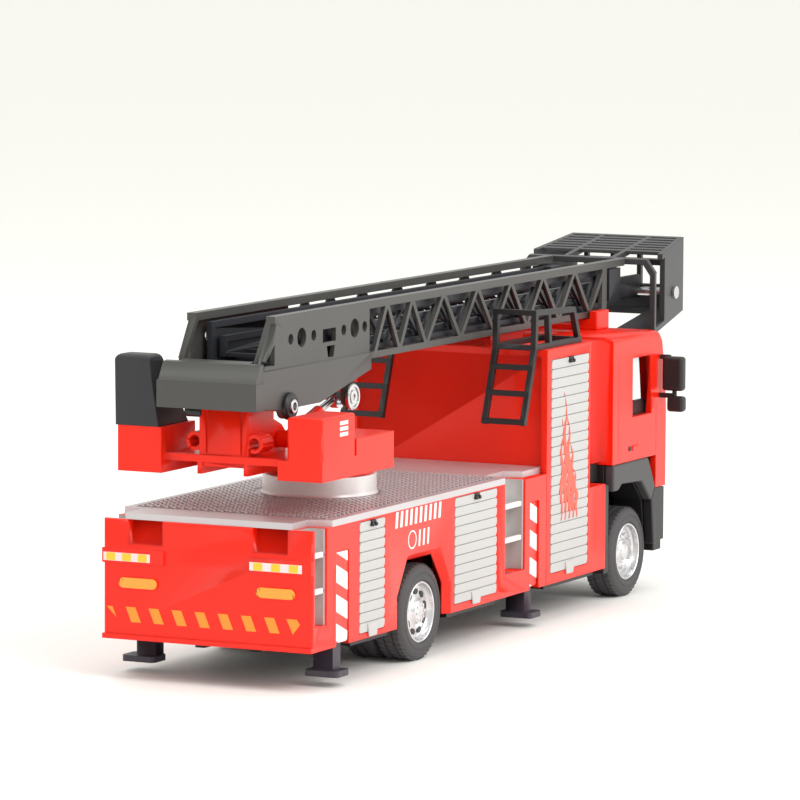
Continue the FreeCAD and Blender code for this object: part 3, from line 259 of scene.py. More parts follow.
def pieceFrom(bm, name, material, body, slot, replaced=(), radius=0.0, degrees=35, segments=2):
    bmesh.ops.remove_doubles(bm, verts=bm.verts, dist=0.001 * mm)
    bmesh.ops.recalc_face_normals(bm, faces=bm.faces)
    mesh = bpy.data.meshes.new(name)
    bm.to_mesh(mesh)
    bm.free()
    piece = newObject(name, mesh, material)
    smooth(mesh, degrees)
    if radius:
        softenEdges(piece, radius, segments)
    return settle(piece, body, slot, *replaced)


def finished(node, material, radius, segments=2):
    # the moulding as designed, with its doubles merged and its edges softened
    bm = bmesh.new()
    bm.from_mesh(frame["nodes"][node].data)
    bmesh.ops.remove_doubles(bm, verts=bm.verts, dist=0.002 * mm)
    mesh = bpy.data.meshes.new(node + "Moulding")
    bm.to_mesh(mesh)
    bm.free()
    piece = newObject(node + "Moulding", mesh, material)
    smooth(mesh, 22)
    if radius:
        softenEdges(piece, radius, segments)
    return settle(piece, bodyOf[node], slotOf[node], node)


def boxInto(bm, low, high):
    corners = [(x, y, z) for x in (low[0], high[0]) for y in (low[1], high[1]) for z in (low[2], high[2])]
    made = [bm.verts.new(at(*corner)) for corner in corners]
    for face in ((0, 1, 3, 2), (4, 6, 7, 5), (0, 4, 5, 1), (2, 3, 7, 6), (0, 2, 6, 4), (1, 5, 7, 3)):
        bm.faces.new([made[i] for i in face])


def prismInto(bm, outline, axis, start, end):
    # an outline in the two other axes, pushed from start to end along one axis
    def corner(a, b, depth):
        return at(*{"x": (depth, a, b), "y": (a, depth, b), "z": (a, b, depth)}[axis])

    lower = [bm.verts.new(corner(a, b, start)) for a, b in outline]
    upper = [bm.verts.new(corner(a, b, end)) for a, b in outline]
    bm.faces.new(lower)
    bm.faces.new(list(reversed(upper)))
    count = len(outline)
    for i in range(count):
        j = (i + 1) % count
        bm.faces.new([lower[i], lower[j], upper[j], upper[i]])


def roundInto(bm, profile, x, z, steps=48):
    # a profile of (y, radius) turned about an axle at x, z; its ends are not capped
    rings = []
    for y, radius in profile:
        ring = []
        for i in range(steps):
            angle = 2 * math.pi * i / steps
            ring.append(bm.verts.new(at(x + radius * math.cos(angle), y, z + radius * math.sin(angle))))
        rings.append(ring)
    for a, b in zip(rings, rings[1:]):
        for i in range(steps):
            j = (i + 1) % steps
            bm.faces.new([a[i], a[j], b[j], b[i]])
    return rings


# Repeats, in geometry nodes

def recipe(title, inputs):
    group = bpy.data.node_groups.new(title, "GeometryNodeTree")
    group.interface.new_socket("Geometry", in_out="OUTPUT", socket_type="NodeSocketGeometry")
    for label, kind in {**inputs, "Item": "Object", "Material": "Material"}.items():
        group.interface.new_socket(label, in_out="INPUT", socket_type="NodeSocket" + kind)
    return group, addNode(group, "NodeGroupInput").outputs


def endRecipe(group, given, points, rotation=None):
    item = addNode(group, "GeometryNodeObjectInfo", None, {"Object": given["Item"]})
    links = {"Points": points, "Instance": item.outputs["Geometry"]}
    if rotation:
        links["Rotation"] = rotation
    placed = addNode(group, "GeometryNodeInstanceOnPoints", None, links)
    real = addNode(group, "GeometryNodeRealizeInstances", None, {0: placed.outputs[0]})
    coloured = addNode(group, "GeometryNodeSetMaterial", None,
                       {"Geometry": real.outputs[0], "Material": given["Material"]})
    addNode(group, "NodeGroupOutput", None, {0: coloured.outputs[0]})


def rowRecipe():
    group, given = recipe("rowOfPieces", {"Count": "Int", "Start": "Vector", "Step": "Vector"})
    line = addNode(group, "GeometryNodeMeshLine", None,
                   {"Count": given["Count"], "Start Location": given["Start"], "Offset": given["Step"]})
    endRecipe(group, given, line.outputs[0])
    return group


def ringRecipe():
    # items stand on a circle about an axle, each turned to face outwards
    group, given = recipe("ringOfPieces",
                          {"Count": "Int", "Radius": "Float", "Centre": "Vector", "Offset Angle": "Float"})
    circle = addNode(group, "GeometryNodeMeshCircle", {"fill_type": "NONE"}, {"Vertices": given["Count"]})
    index = addNode(group, "GeometryNodeInputIndex")
    share = addNode(group, "ShaderNodeMath", {"operation": "DIVIDE"},
                    {0: index.outputs[0], 1: given["Count"]})
    angle = addNode(group, "ShaderNodeMath", {"operation": "MULTIPLY_ADD", 1: 2 * math.pi},
                    {0: share.outputs[0], 2: given["Offset Angle"]})
    cosine = addNode(group, "ShaderNodeMath", {"operation": "COSINE"}, {0: angle.outputs[0]})
    sine = addNode(group, "ShaderNodeMath", {"operation": "SINE"}, {0: angle.outputs[0]})
    spoke = addNode(group, "ShaderNodeCombineXYZ", None, {"X": cosine.outputs[0], "Z": sine.outputs[0]})
    reach = addNode(group, "ShaderNodeVectorMath", {"operation": "SCALE"},
                    {0: spoke.outputs[0], "Scale": given["Radius"]})
    spot = addNode(group, "ShaderNodeVectorMath", {"operation": "ADD"},
                   {0: reach.outputs[0], 1: given["Centre"]})
    moved = addNode(group, "GeometryNodeSetPosition", None,
                    {"Geometry": circle.outputs[0], "Position": spot.outputs[0]})
    turn = addNode(group, "ShaderNodeMath", {"operation": "MULTIPLY", 1: -1.0}, {0: angle.outputs[0]})
    euler = addNode(group, "ShaderNodeCombineXYZ", None, {"Y": turn.outputs[0]})
    endRecipe(group, given, moved.outputs[0], euler.outputs[0])
    return group


def gridRecipe():
    # a field of items in rows, with a round clearing in it
    group, given = recipe("fieldOfPieces",
                          {"Columns": "Int", "Rows": "Int", "Length": "Float", "Width": "Float",
                                           "Centre": "Vector", "Clearing": "Vector",
                                           "Clearing Radius": "Float"})
    field = addNode(group, "GeometryNodeMeshGrid", None, {"Size X": given["Length"], "Size Y": given["Width"],
                                                        "Vertices X": given["Columns"],
                                                        "Vertices Y": given["Rows"]})
    moved = addNode(group, "GeometryNodeSetPosition", None,
                    {"Geometry": field.outputs[0], "Offset": given["Centre"]})
    spot = addNode(group, "GeometryNodeInputPosition")
    gap = addNode(group, "ShaderNodeVectorMath", {"operation": "DISTANCE"},
                  {0: spot.outputs[0], 1: given["Clearing"]})
    near = addNode(group, "FunctionNodeCompare", {"operation": "LESS_THAN"},
                   {0: gap.outputs["Value"], 1: given["Clearing Radius"]})
    kept = addNode(group, "GeometryNodeDeleteGeometry", None,
                   {"Geometry": moved.outputs[0], "Selection": near.outputs[0]})
    endRecipe(group, given, kept.outputs[0])
    return group


recipes = {"row": rowRecipe(), "ring": ringRecipe(), "grid": gridRecipe()}


def repeated(name, kind, values, itemMesh, material, body, slot, replaced=(), radius=0.0):
    item = bpy.data.objects.new(name + "Item", itemMesh)
    bpy.context.scene.collection.objects.link(item)
    holder = bpy.data.objects.new(name + "Holder", bpy.data.meshes.new(name + "Holder"))
    bpy.context.scene.collection.objects.link(holder)
    maker = holder.modifiers.new("maker", "NODES")
    maker.node_group = recipes[kind]
    given = {**values, "Item": item, "Material": material}
    for socket in recipes[kind].interface.items_tree:
        if socket.in_out == "INPUT":
            maker[socket.identifier] = given[socket.name]
    bpy.context.view_layer.update()
    shown = holder.evaluated_get(bpy.context.evaluated_depsgraph_get())
    mesh = bpy.data.meshes.new_from_object(shown)
    bpy.data.objects.remove(holder)
    bpy.data.objects.remove(item)
    mesh.name = name
    piece = bpy.data.objects.new(name, mesh)
    bpy.context.scene.collection.objects.link(piece)
    if not mesh.materials:
        mesh.materials.append(material)
    smooth(mesh)
    if radius:
        softenEdges(piece, radius)
    return settle(piece, body, slot, *replaced)


def itemFrom(build):
    # a small mesh about the origin, for the recipes to repeat; build fills it in millimetres
    bm = bmesh.new()
    build(bm)
    bmesh.ops.recalc_face_normals(bm, faces=bm.faces)
    bmesh.ops.scale(bm, vec=(mm, mm, mm), verts=bm.verts)
    mesh = bpy.data.meshes.new("item")
    bm.to_mesh(mesh)
    bm.free()
    return mesh


def plainPrism(bm, outline, axis, start, end):
    def corner(a, b, depth):
        return {"x": (depth, a, b), "y": (a, depth, b), "z": (a, b, depth)}[axis]

    lower = [bm.verts.new(corner(a, b, start)) for a, b in outline]
    upper = [bm.verts.new(corner(a, b, end)) for a, b in outline]
    bm.faces.new(lower)
    bm.faces.new(list(reversed(upper)))
    for i in range(len(outline)):
        j = (i + 1) % len(outline)
        bm.faces.new([lower[i], lower[j], upper[j], upper[i]])


# Mouldings that are right as designed

mouldings = {
    redEnamel: {"rear_body_shell": 0.0, "cab_shell": 0.0},
    redAbs: {"module_shell": 0.0, "ladder_rest": 0.3, "turntable_platform": 0.0, "lift_tubes": 0.0},
    silverLacquer: {"deck_plate": 0.0},
    paleSilver: {"turntable_ring": 0.25},
    bayGrey: {"step_inserts_left": 0.0, "step_inserts_right": 0.0},
    blackPlastic: {"chassis_base": 0.0, "link_block": 0.3, "cab_interior": 0.0, "front_bumper": 0.0,
                   "sun_visor": 0.0,
                   "climb_ladders": 0.0, "front_grille": 0.15, "bumper_skirt": 0.3},
    footPlastic: {"outrigger_foot_rear_left": 0.0, "outrigger_foot_rear_right": 0.0,
                  "outrigger_foot_front_left": 0.0, "outrigger_foot_front_right": 0.0},
    ladderGrey: {"ladder_rear_frame": 0.0, "ladder_base_left": 0.0, "ladder_base_right": 0.0,
                 "ladder_base_rungs": 0.0},
    sectionDark: {"ladder_middle_section": 0.0, "ladder_top_section": 0.0},
    darkGrey: {"basket": 0.0},
    consoleBlack: {"control_console": 0.0},
    warningStripes: {"outrigger_rear_left": 0.2, "outrigger_rear_right": 0.2, "outrigger_front_left": 0.2,
                     "outrigger_front_right": 0.2},
    amberInk: {"rear_lamps": 0.2},
}
for material, nodes in mouldings.items():
    for node, radius in nodes.items():
        finished(node, material, radius)

fittings = {
    drawnSteel: ["rear_axle", "front_axle", "base_screws", "turntable_screw"],
    platedChrome: ["pivot_pin", "cylinder_head_pin", "cylinder_foot_pin", "lift_rods", "basket_pin"],
    blackPlastic: ["steering_wheel"],
    windowClear: ["windscreen", "headlamps"],
}
for material, nodes in fittings.items():
    for node in nodes:
        held = frame["nodes"][node].data.materials
        held.clear()
        held.append(material)
print("mouldings finished")


# Roller shutters

shutterPlan = {
    "shutters_rear": {"span": (24.6, 38.1), "height": (11.1, 37.9), "slats": 11},
    "shutters_middle": {"span": (77.1, 101.4), "height": (11.6, 38.1), "slats": 11},
    "shutters_tall": {"span": (134.1, 157.1), "height": (12.4, 67.5), "slats": 22},
}
slatSizes = {"face": 28.12, "depth": 0.9, "lean": 0.10, "cover": 0.96, "tab": (5.6, 3.4, 0.35),
             "latch": (2.6, 0.7, 0.5), "hooks": {"radius": 0.5, "spread": 0.9, "root": 28.1, "neck": 28.8,
                                                 "tip": 29.0}, "corner": 0.55}


def makeShutter(node, plan):
    (x0, x1), (z0, z1) = plan["span"], plan["height"]
    pitch = (z1 - z0) / plan["slats"]
    sizes = slatSizes
    bay = node.replace("shutters_", "")
    for side, sideName in ((1, "Left"), (-1, "Right")):
        def slat(bm):
            half = (x1 - x0) / 2
            tall = pitch * sizes["cover"] / 2
            outline = []
            for way in (1, -1):
                for k in range(7):
                    angle = math.radians(-90 + 30 * k)
                    across = half - sizes["corner"] + sizes["corner"] * math.cos(angle)
                    outline.append((way * across, way * tall * math.sin(angle)))
            plainPrism(bm, outline, "y", -side * sizes["depth"], 0)
            lean = Matrix.Rotation(-side * sizes["lean"] / tall, 3, "X")
            bmesh.ops.rotate(bm, verts=bm.verts, cent=(0, 0, 0), matrix=lean)

        repeated(bay + "Shutter" + sideName, "row",
                 {"Count": plan["slats"], "Start": at((x0 + x1) / 2, side * sizes["face"], z0 + pitch / 2),
                  "Step": Vector((0, 0, pitch * mm))},
                 itemFrom(slat), shutterGrey, "truck", slotOf[node], (node,) if side > 0 else (), radius=0.08)
        bm = bmesh.new()
        middle = (x0 + x1) / 2
        wide, tall, proud = sizes["latch"]
        boxInto(bm, (middle - wide / 2, side * 27.6, z1 - tall),
                (middle + wide / 2, side * (sizes["face"] + proud), z1 + 0.1))
        pieceFrom(bm, bay + "Latch" + sideName, blackPlastic, "truck", "black_plastic", radius=0.25)
        bm = bmesh.new()
        wide, tall, proud = sizes["tab"]
        low = z0 - 1.2
        outline = [(middle - wide / 2, low + tall), (middle - wide / 2 + 0.8, low),
                   (middle + wide / 2 - 0.8, low),
                   (middle + wide / 2, low + tall)]
        prismInto(bm, outline, "y", side * (sizes["face"] - 0.1), side * (sizes["face"] + proud))
        pieceFrom(bm, bay + "Tab" + sideName, shutterGrey, "truck", "shutter_white", radius=0.2)
        hooks = sizes["hooks"]
        radius = hooks["radius"]
        root, neck, tip = (side * hooks[key] for key in ("root", "neck", "tip"))
        for hook in (-hooks["spread"], hooks["spread"]):
            bm = bmesh.new()
            roundInto(bm, [(root, 0.02), (root, radius), (neck, radius), (tip, radius * 0.7), (tip, 0.02),
                           (root, 0.02)],
                      middle + hook, z1 - 1.0, 20)
            pieceFrom(bm, bay + "Hook" + sideName, blackPlastic, "truck", "black_plastic")


for node, plan in shutterPlan.items():
    makeShutter(node, plan)
print("shutters hung")


# Wheels

wheelPlan = {
    "rows": {"rear": 60.0, "front": 187.0}, "axleHeight": 11.95, "radius": 11.95,
    "outer": {"rear": 27.4, "front": 26.7},
    "twin": {"rear": 8.8, "front": 0.0}, "width": {"rear": 8.2, "front": 8.4},
    "rim": 7.6, "treadBlocks": 46, "block": (1.05, 1.9, 0.28),
}


def makeTyre(row, side, sideName, outer, width, name, replaced):
    plan = wheelPlan
    x = plan["rows"][row]
    z = plan["axleHeight"]
    inner = outer - width
    r = plan["radius"] - 0.12
    rim = plan["rim"]
    half = [(outer - 0.5, rim), (outer - 0.15, rim + 0.25), (outer, rim + 0.7), (outer - 0.05, rim + 1.5),
            (outer - 0.2, rim + 1.7), (outer - 0.2, rim + 2.0), (outer - 0.02, rim + 2.2),
            (outer - 0.15, rim + 3.0),
            (outer - 0.6, r - 0.45), (outer - 1.1, r - 0.12), (outer - 1.7, r), (outer - 2.6, r),
            (outer - 2.75, r - 0.45), (outer - 3.05, r - 0.45), (outer - 3.2, r)]
    mirrored = [(outer + inner - y, radius) for y, radius in reversed(half)]
    profile = [(side * y, radius) for y, radius in half + mirrored]
    bm = bmesh.new()
    roundInto(bm, profile + profile[:1], x, z, 72)
    body = row + "_wheels"
    slot = slotOf[f"tyre_{row}_{sideName}"]
    pieceFrom(bm, f"{row}{name}{sideName.title()}", tyreVinyl, body, slot, replaced, degrees=28)

    length, wide, proud = plan["block"]
    middle = (outer + inner) / 2
    for band, (y, offset) in {"Outer": (outer - 1.75, 0.0), "Inner": (inner + 1.75, 0.0),
                              "Centre": (middle, 0.5)}.items():
        def block(bm):
            plainPrism(bm, [(-length / 2, -wide / 2 * side), (length / 2, -wide / 2 * side + 0.4 * side),
                            (length / 2, wide / 2 * side), (-length / 2, wide / 2 * side - 0.4 * side)], "x",
                       -0.3, proud - 0.16)
            for vert in bm.verts:
                vert.co = Vector((vert.co.x, vert.co.z, vert.co.y))

        repeated(f"{row}{name}Tread{band}{sideName.title()}", "ring",
                 {"Count": plan["treadBlocks"], "Radius": r * mm, "Centre": at(x, side * y, z),
                  "Offset Angle": offset * 2 * math.pi / plan["treadBlocks"]},
                 itemFrom(block), tyreVinyl, body, slot)


def makeWheel(row, side, sideName):
    plan = wheelPlan
    x = plan["rows"][row]
    z = plan["axleHeight"]
    outer = plan["outer"][row]
    twin = plan["twin"][row]
    width = plan["width"][row]
    body = row + "_wheels"
    rim = plan["rim"]
    makeTyre(row, side, sideName, outer, width, "Tyre", (f"tyre_{row}_{sideName}",))
    if twin:
        makeTyre(row, side, sideName, outer - twin, width, "InnerTyre", ())
    inner = outer - twin - width

    node = f"rim_{row}_{sideName}"
    if row == "rear":
        dish = [(outer - 0.3, rim - 0.05), (outer - 0.15, rim - 0.3), (outer - 0.3, rim - 0.6),
                (outer - 1.3, rim - 0.8),
                (outer - 1.8, rim - 1.2), (outer - 1.9, rim - 1.9), (outer - 1.6, rim - 3.6),
                (outer - 1.45, 3.4),
                (outer - 1.2, 3.1), (outer - 0.6, 2.8), (outer - 0.35, 2.3), (outer - 0.3, 1.2),
                (outer - 0.25, 0.02)]
    else:
        dish = [(outer - 0.3, rim - 0.05), (outer - 0.15, rim - 0.3), (outer - 0.3, rim - 0.65),
                (outer - 1.6, rim - 0.9),
                (outer - 2.0, rim - 1.3), (outer - 2.0, 3.3), (outer - 1.7, 3.0), (outer - 1.5, 2.4),
                (outer - 1.0, 2.1),
                (outer - 0.8, 1.2), (outer - 0.75, 0.02)]
    back = [(inner + 3.4, 0.02), (inner + 3.4, rim - 1.6), (inner + 0.5, rim - 1.2),
            (inner + 0.35, rim - 0.6),
            (inner + 0.5, rim - 0.05)]
    profile = [(side * y, radius) for y, radius in dish + back]
    bm = bmesh.new()
    roundInto(bm, profile + profile[:1], x, z, 64)
    pieceFrom(bm, f"{row}Rim{sideName.title()}", platedChrome, body, slotOf[node], (node,), degrees=30)

    if row == "rear":
        # the hand holes are black discs on the dish, painted shade in place of open holes
        def holeShade(bm):
            outline = [(0.75 * math.cos(t * math.pi / 6), 1.1 * math.sin(t * math.pi / 6)) for t in range(12)]
            plainPrism(bm, outline, "y", -0.4 * side, 0.3 * side)

        repeated(f"{row}HandHoles{sideName.title()}", "ring",
                 {"Count": 9, "Radius": 5.0 * mm, "Centre": at(x, side * (outer - 1.85), z),
                  "Offset Angle": 0.2},
                 itemFrom(holeShade), blackPlastic, body, "black_plastic")
        nutRing, nutDepth, nutCount = 2.0, outer - 0.5, 8
    else:
        nutRing, nutDepth, nutCount = 4.5, outer - 1.95, 10

    def nut(bm):
        outline = [(0.42 * math.cos(t * math.pi / 3), 0.42 * math.sin(t * math.pi / 3)) for t in range(6)]
        plainPrism(bm, outline, "y", -0.3 * side, 0.75 * side if row == "front" else 0.35 * side)

    repeated(f"{row}WheelNuts{sideName.title()}", "ring",
             {"Count": nutCount, "Radius": nutRing * mm, "Centre": at(x, side * nutDepth, z),
              "Offset Angle": 0.1},
             itemFrom(nut), platedChrome, body, slotOf[node], radius=0.06)


for row in wheelPlan["rows"]:
    for side, sideName in ((1, "left"), (-1, "right")):
        makeWheel(row, side, sideName)
print("wheels turned")


# Printed markings

printPlan = {
    "thickness": 0.05, "sunk": 0.2, "sideFace": 28.0,
    "blocks": {"count": 7, "first": -19.4, "pitch": 6.2, "low": 13.9, "high": 17.5, "width": 2.6,
               "lean": 1.5},
    "ends": (((27.1, 17.4), (25.5, 17.4), (24.5, 14.9)),
             ((-21.2, 17.5), (-23.9, 17.5), (-24.8, 16.3), (-22.9, 13.9))),
    "strips": {"left": (15.0, 27.6), "right": (-25.6, -11.7)},
    "film": {"depth": (-0.75, -0.6), "height": (28.5, 30.5)},
    "squares": {"depth": (-0.80, -0.7), "height": (28.6, 30.4), "half": 1.2, "count": 3, "first": 0.16,
                "pitch": 0.34},
    "mark": {"first": (43.8, 34.3), "step": (2.65, 0.0), "count": 10, "width": 1.25, "height": 3.9,
             "lean": 0.5},
    "ring": {"centre": (53.2, 30.6), "radius": 2.3, "line": 0.35, "bars": 3},
}


def makePrints(plan):
    thin = plan["thickness"]
    row = plan["blocks"]

    def slanted(bm):
        tall = row["high"] - row["low"]
        outline = [(0, 0), (row["width"], 0), (row["width"] + row["lean"], tall), (row["lean"], tall)]
        plainPrism(bm, outline, "x", -thin, plan["sunk"])

    repeated("rearWarningBlocks", "row",
             {"Count": row["count"], "Start": at(0, row["first"], row["low"]),
              "Step": Vector((0, row["pitch"] * mm, 0))},
             itemFrom(slanted), orangeInk, "truck", "amber_lens")
    bm = bmesh.new()
    for outline in plan["ends"]:
        prismInto(bm, outline, "x", -thin, plan["sunk"])
    pieceFrom(bm, "rearWarningEnds", orangeInk, "truck", "amber_lens")
    (film0, film1), (low, high) = plan["film"]["depth"], plan["film"]["height"]
    squares = plan["squares"]
    (square0, square1), (z0, z1) = squares["depth"], squares["height"]
    for name, (y0, y1) in plan["strips"].items():
        bm = bmesh.new()
        boxInto(bm, (film0, y0, low), (film1, y1, high))
        pieceFrom(bm, name + "ReflectiveStrip", pinkWhiteInk, "truck", "shutter_white")
        bm = bmesh.new()
        for k in range(squares["count"]):
            y = y0 + (y1 - y0) * (squares["first"] + squares["pitch"] * k)
            boxInto(bm, (square0, y - squares["half"], z0), (square1, y + squares["half"], z1))
        pieceFrom(bm, name + "ReflectiveSquares", yellowInk, "truck", "amber_lens")


def makeSideMarks(plan):
    # a row of plain slanted bars and a ring, in place of any wording
    mark = plan["mark"]
    ring = plan["ring"]
    thin = plan["thickness"]
    face = plan["sideFace"]
    for side, sideName in ((1, "Left"), (-1, "Right")):
        def bar(bm):
            wide, lean, tall = mark["width"], mark["lean"], mark["height"]
            plainPrism(bm, [(0, 0), (wide, 0), (wide + lean, tall), (lean, tall)], "y",
                       -side * plan["sunk"], side * thin)

        repeated("markBars" + sideName, "row",
                 {"Count": mark["count"], "Start": at(mark["first"][0], side * face, mark["first"][1]),
                  "Step": Vector((mark["step"][0] * mm, 0, 0))}, itemFrom(bar), whiteInk, "truck",
                  "shutter_white")
        bm = bmesh.new()
        x, z = ring["centre"]
        outer, inner = ring["radius"], ring["radius"] - ring["line"]
        near, far = side * (face - plan["sunk"]), side * (face + thin)
        roundInto(bm, [(near, inner), (near, outer), (far, outer), (far, inner), (near, inner)], x, z, 40)
        for k in range(ring["bars"]):
            left = x + 3.4 + 2.4 * k
            prismInto(bm, [(left, z - 2), (left + 0.9, z - 2), (left + 1.3, z + 2), (left + 0.4, z + 2)],
                      "y", near, far)
        pieceFrom(bm, "markRing" + sideName, whiteInk, "truck", "shutter_white")


# each tongue of the flame is a waving line: its foot, its tip, its widest half width and its waves
flamePlan = {
    "face": 28.24, "height": (25.5, 58.5), "x": 139.3,
    "tongues": ((1.0, 0.0, 0.80, 0.8), (3.3, 0.3, 1.0, 1.15), (5.8, 0.6, 0.82, 1.35),
                (8.2, 0.9, 0.62, 1.3), (10.4, 1.2, 0.42, 0.9)),
    "steps": 22, "sway": 0.8,
}


def makeFlames(plan):
    low, high = plan["height"]
    for side, sideName in ((1, "Left"), (-1, "Right")):
        bm = bmesh.new()
        for foot, phase, share, wide in plan["tongues"]:
            line = []
            for k in range(plan["steps"] + 1):
                t = k / plan["steps"]
                z = low + (high - low) * share * t
                sway = plan["sway"] * math.sin(5.2 * math.pi * t + phase) * (0.5 + 0.5 * t)
                x = plan["x"] + foot + sway - 2.6 * t * t * (foot / 9 - 0.3)
                swell = 0.12 + 0.88 * math.sin(math.pi * t ** 0.8) ** 1.3
                line.append((x, z, wide * swell * (1 - t ** 4) + 0.03))
            outline = [(x - w, z) for x, z, w in line] + [(x + w, z) for x, z, w in reversed(line)]
            prismInto(bm, outline, "y", side * (plan["face"] - 0.25), side * (plan["face"] + foot * 0.002))
        pieceFrom(bm, "flames" + sideName, flameInk, "truck", "shutter_white")


makePrints(printPlan)
makeSideMarks(printPlan)
makeFlames(flamePlan)
print("markings printed")


# Deck tread

treadPlan = {"x": (12.6, 104.6), "y": 24.6, "columns": 42, "rows": 24, "bar": (1.9, 0.75, 0.24),
             "deckTop": 40.1,
             "clearing": (58.4, 0.0), "clearingRadius": 16.0, "border": 2.0}


def makeTread(plan):
    length, wide, tall = plan["bar"]
    x0, x1 = plan["x"]
    top = plan["deckTop"]
    for turn, name in ((1, "First"), (-1, "Second")):
        def bar(bm):
            outline = [(-length / 2, 0), (-length / 4, wide / 2), (length / 4, wide / 2), (length / 2, 0),
                       (length / 4, -wide / 2),
                       (-length / 4, -wide / 2)]
            plainPrism(bm, outline, "z", -0.1, tall)
            bmesh.ops.rotate(bm, verts=bm.verts, cent=(0, 0, 0),
                             matrix=Matrix.Rotation(turn * math.pi / 4, 3, "Z"))

        shift = 0.5 if turn < 0 else 0.0
        columnStep = (x1 - x0) / (plan["columns"] - 1)
        rowStep = 2 * plan["y"] / (plan["rows"] - 1)
        repeated("treadBars" + name, "grid",
                 {"Columns": plan["columns"], "Rows": plan["rows"], "Length": (x1 - x0) * mm,
                  "Width": 2 * plan["y"] * mm,
                  "Centre": at((x0 + x1) / 2 + shift * columnStep, shift * rowStep - rowStep / 4, top),
                  "Clearing": at(*plan["clearing"], top), "Clearing Radius": plan["clearingRadius"] * mm},
                 itemFrom(bar), silverLacquer, "truck", slotOf["deck_plate"])
    # the darker field that the treads stand on, darkened as painted shade
    bm = bmesh.new()
    boxInto(bm, (x0 - 1.0, -plan["y"] - 1.0, top - 0.1), (x1 + 1.0, plan["y"] + 1.0, top + 0.03))
    pieceFrom(bm, "treadField", shadedTreadLacquer, "truck", slotOf["deck_plate"])


makeTread(treadPlan)
print("deck treaded")


# Fenders, mirrors and small fittings

fenderPlan = {
    "left": 172.9 + 0.3, "low": 12.6, "top": 36.4, "outerBand": (25.6, 28.35), "liner": (17.0, 25.5),
}


def makeFenders(plan):
    left = plan["left"]
    right = left + 28.2
    top = plan["top"] - 0.1
    low = plan["low"]
    arch = [(right - 3.2, 24.4), (right - 9.6, 30.3), (left + 5.7, 30.9), (left + 3.2, 29.4), (left, 29.4)]
    band = [(left, top), (right - 5.4, top), (right - 0.7, 28.2)] + arch
    whole = [(left, top), (right - 5.4, top), (right, 27.0), (right, low), (right - 1.7, low)] + arch
    # the front leg is black plastic as painted shade, where the grey fender lies in shadow
    shadowLeg = [(right - 0.7, 28.1), (right, 27.0), (right, low), (right - 1.7, low), (right - 3.15, 24.4)]
    for side, sideName in ((1, "Left"), (-1, "Right")):
        for name, outline, (near, far), material, radius in (
                ("Band", band, plan["outerBand"], archGrey, 0.5),
                ("Leg", shadowLeg, plan["outerBand"], blackPlastic, 0.3),
                ("Liner", whole, plan["liner"], blackPlastic, 0.2)):
            bm = bmesh.new()
            prismInto(bm, outline, "y", side * near, side * far)
            pieceFrom(bm, "fender" + name + sideName, material, "truck", "fender_grey", ("fenders",),
                      radius=radius, segments=3)


mirrorPlan = {"x": (202.6, 205.6), "tall": (29.0, 35.0, 53.6, 62.8), "small": (30.4, 35.2, 48.0, 52.2),
              "round": 0.9,
              "arms": ((0.8, 28.0, 31.0, 62.0, 63.2), (0.8, 28.0, 32.6, 51.6, 52.9),
                       (1.0, 31.6, 32.8, 51.0, 54.4))}


def makeMirrors(plan):
    x0, x1 = plan["x"]
    for side, sideName in ((1, "Left"), (-1, "Right")):
        for name, (y0, y1, z0, z1) in (("tall", plan["tall"]), ("small", plan["small"])):
            bm = bmesh.new()
            boxInto(bm, (x0, side * y0, z0), (x1, side * y1, z1))
            pieceFrom(bm, name + "Mirror" + sideName, blackPlastic, "truck", "black_plastic", ("mirrors",),
                      radius=plan["round"],
                      segments=4)
        bm = bmesh.new()
        for inset, y0, y1, z0, z1 in plan["arms"]:
            boxInto(bm, (x0 + inset, side * y0, z0), (x1 - inset, side * y1, z1))
        pieceFrom(bm, "mirrorArms" + sideName, blackPlastic, "truck", "black_plastic", ("mirrors",),
                  radius=0.3)


fittingPlan = {
    "pivot": (17.7, 65.7), "head": (51.0, 64.9),
    "boss": {"out": 8.0, "height": 57.2, "outer": 2.3, "bore": 1.4, "ends": (8.6, 14.0), "steps": 28},
    "roller": {"x": 9.0, "height": 64.2, "radius": 1.3, "ends": (6.1, 10.4), "chamfer": 0.3},
    "label": {"x": (15.2, 19.4), "y": (-27.46, -27.35), "low": 59.4, "tall": 0.9, "pitch": 1.35, "bars": 3},
}


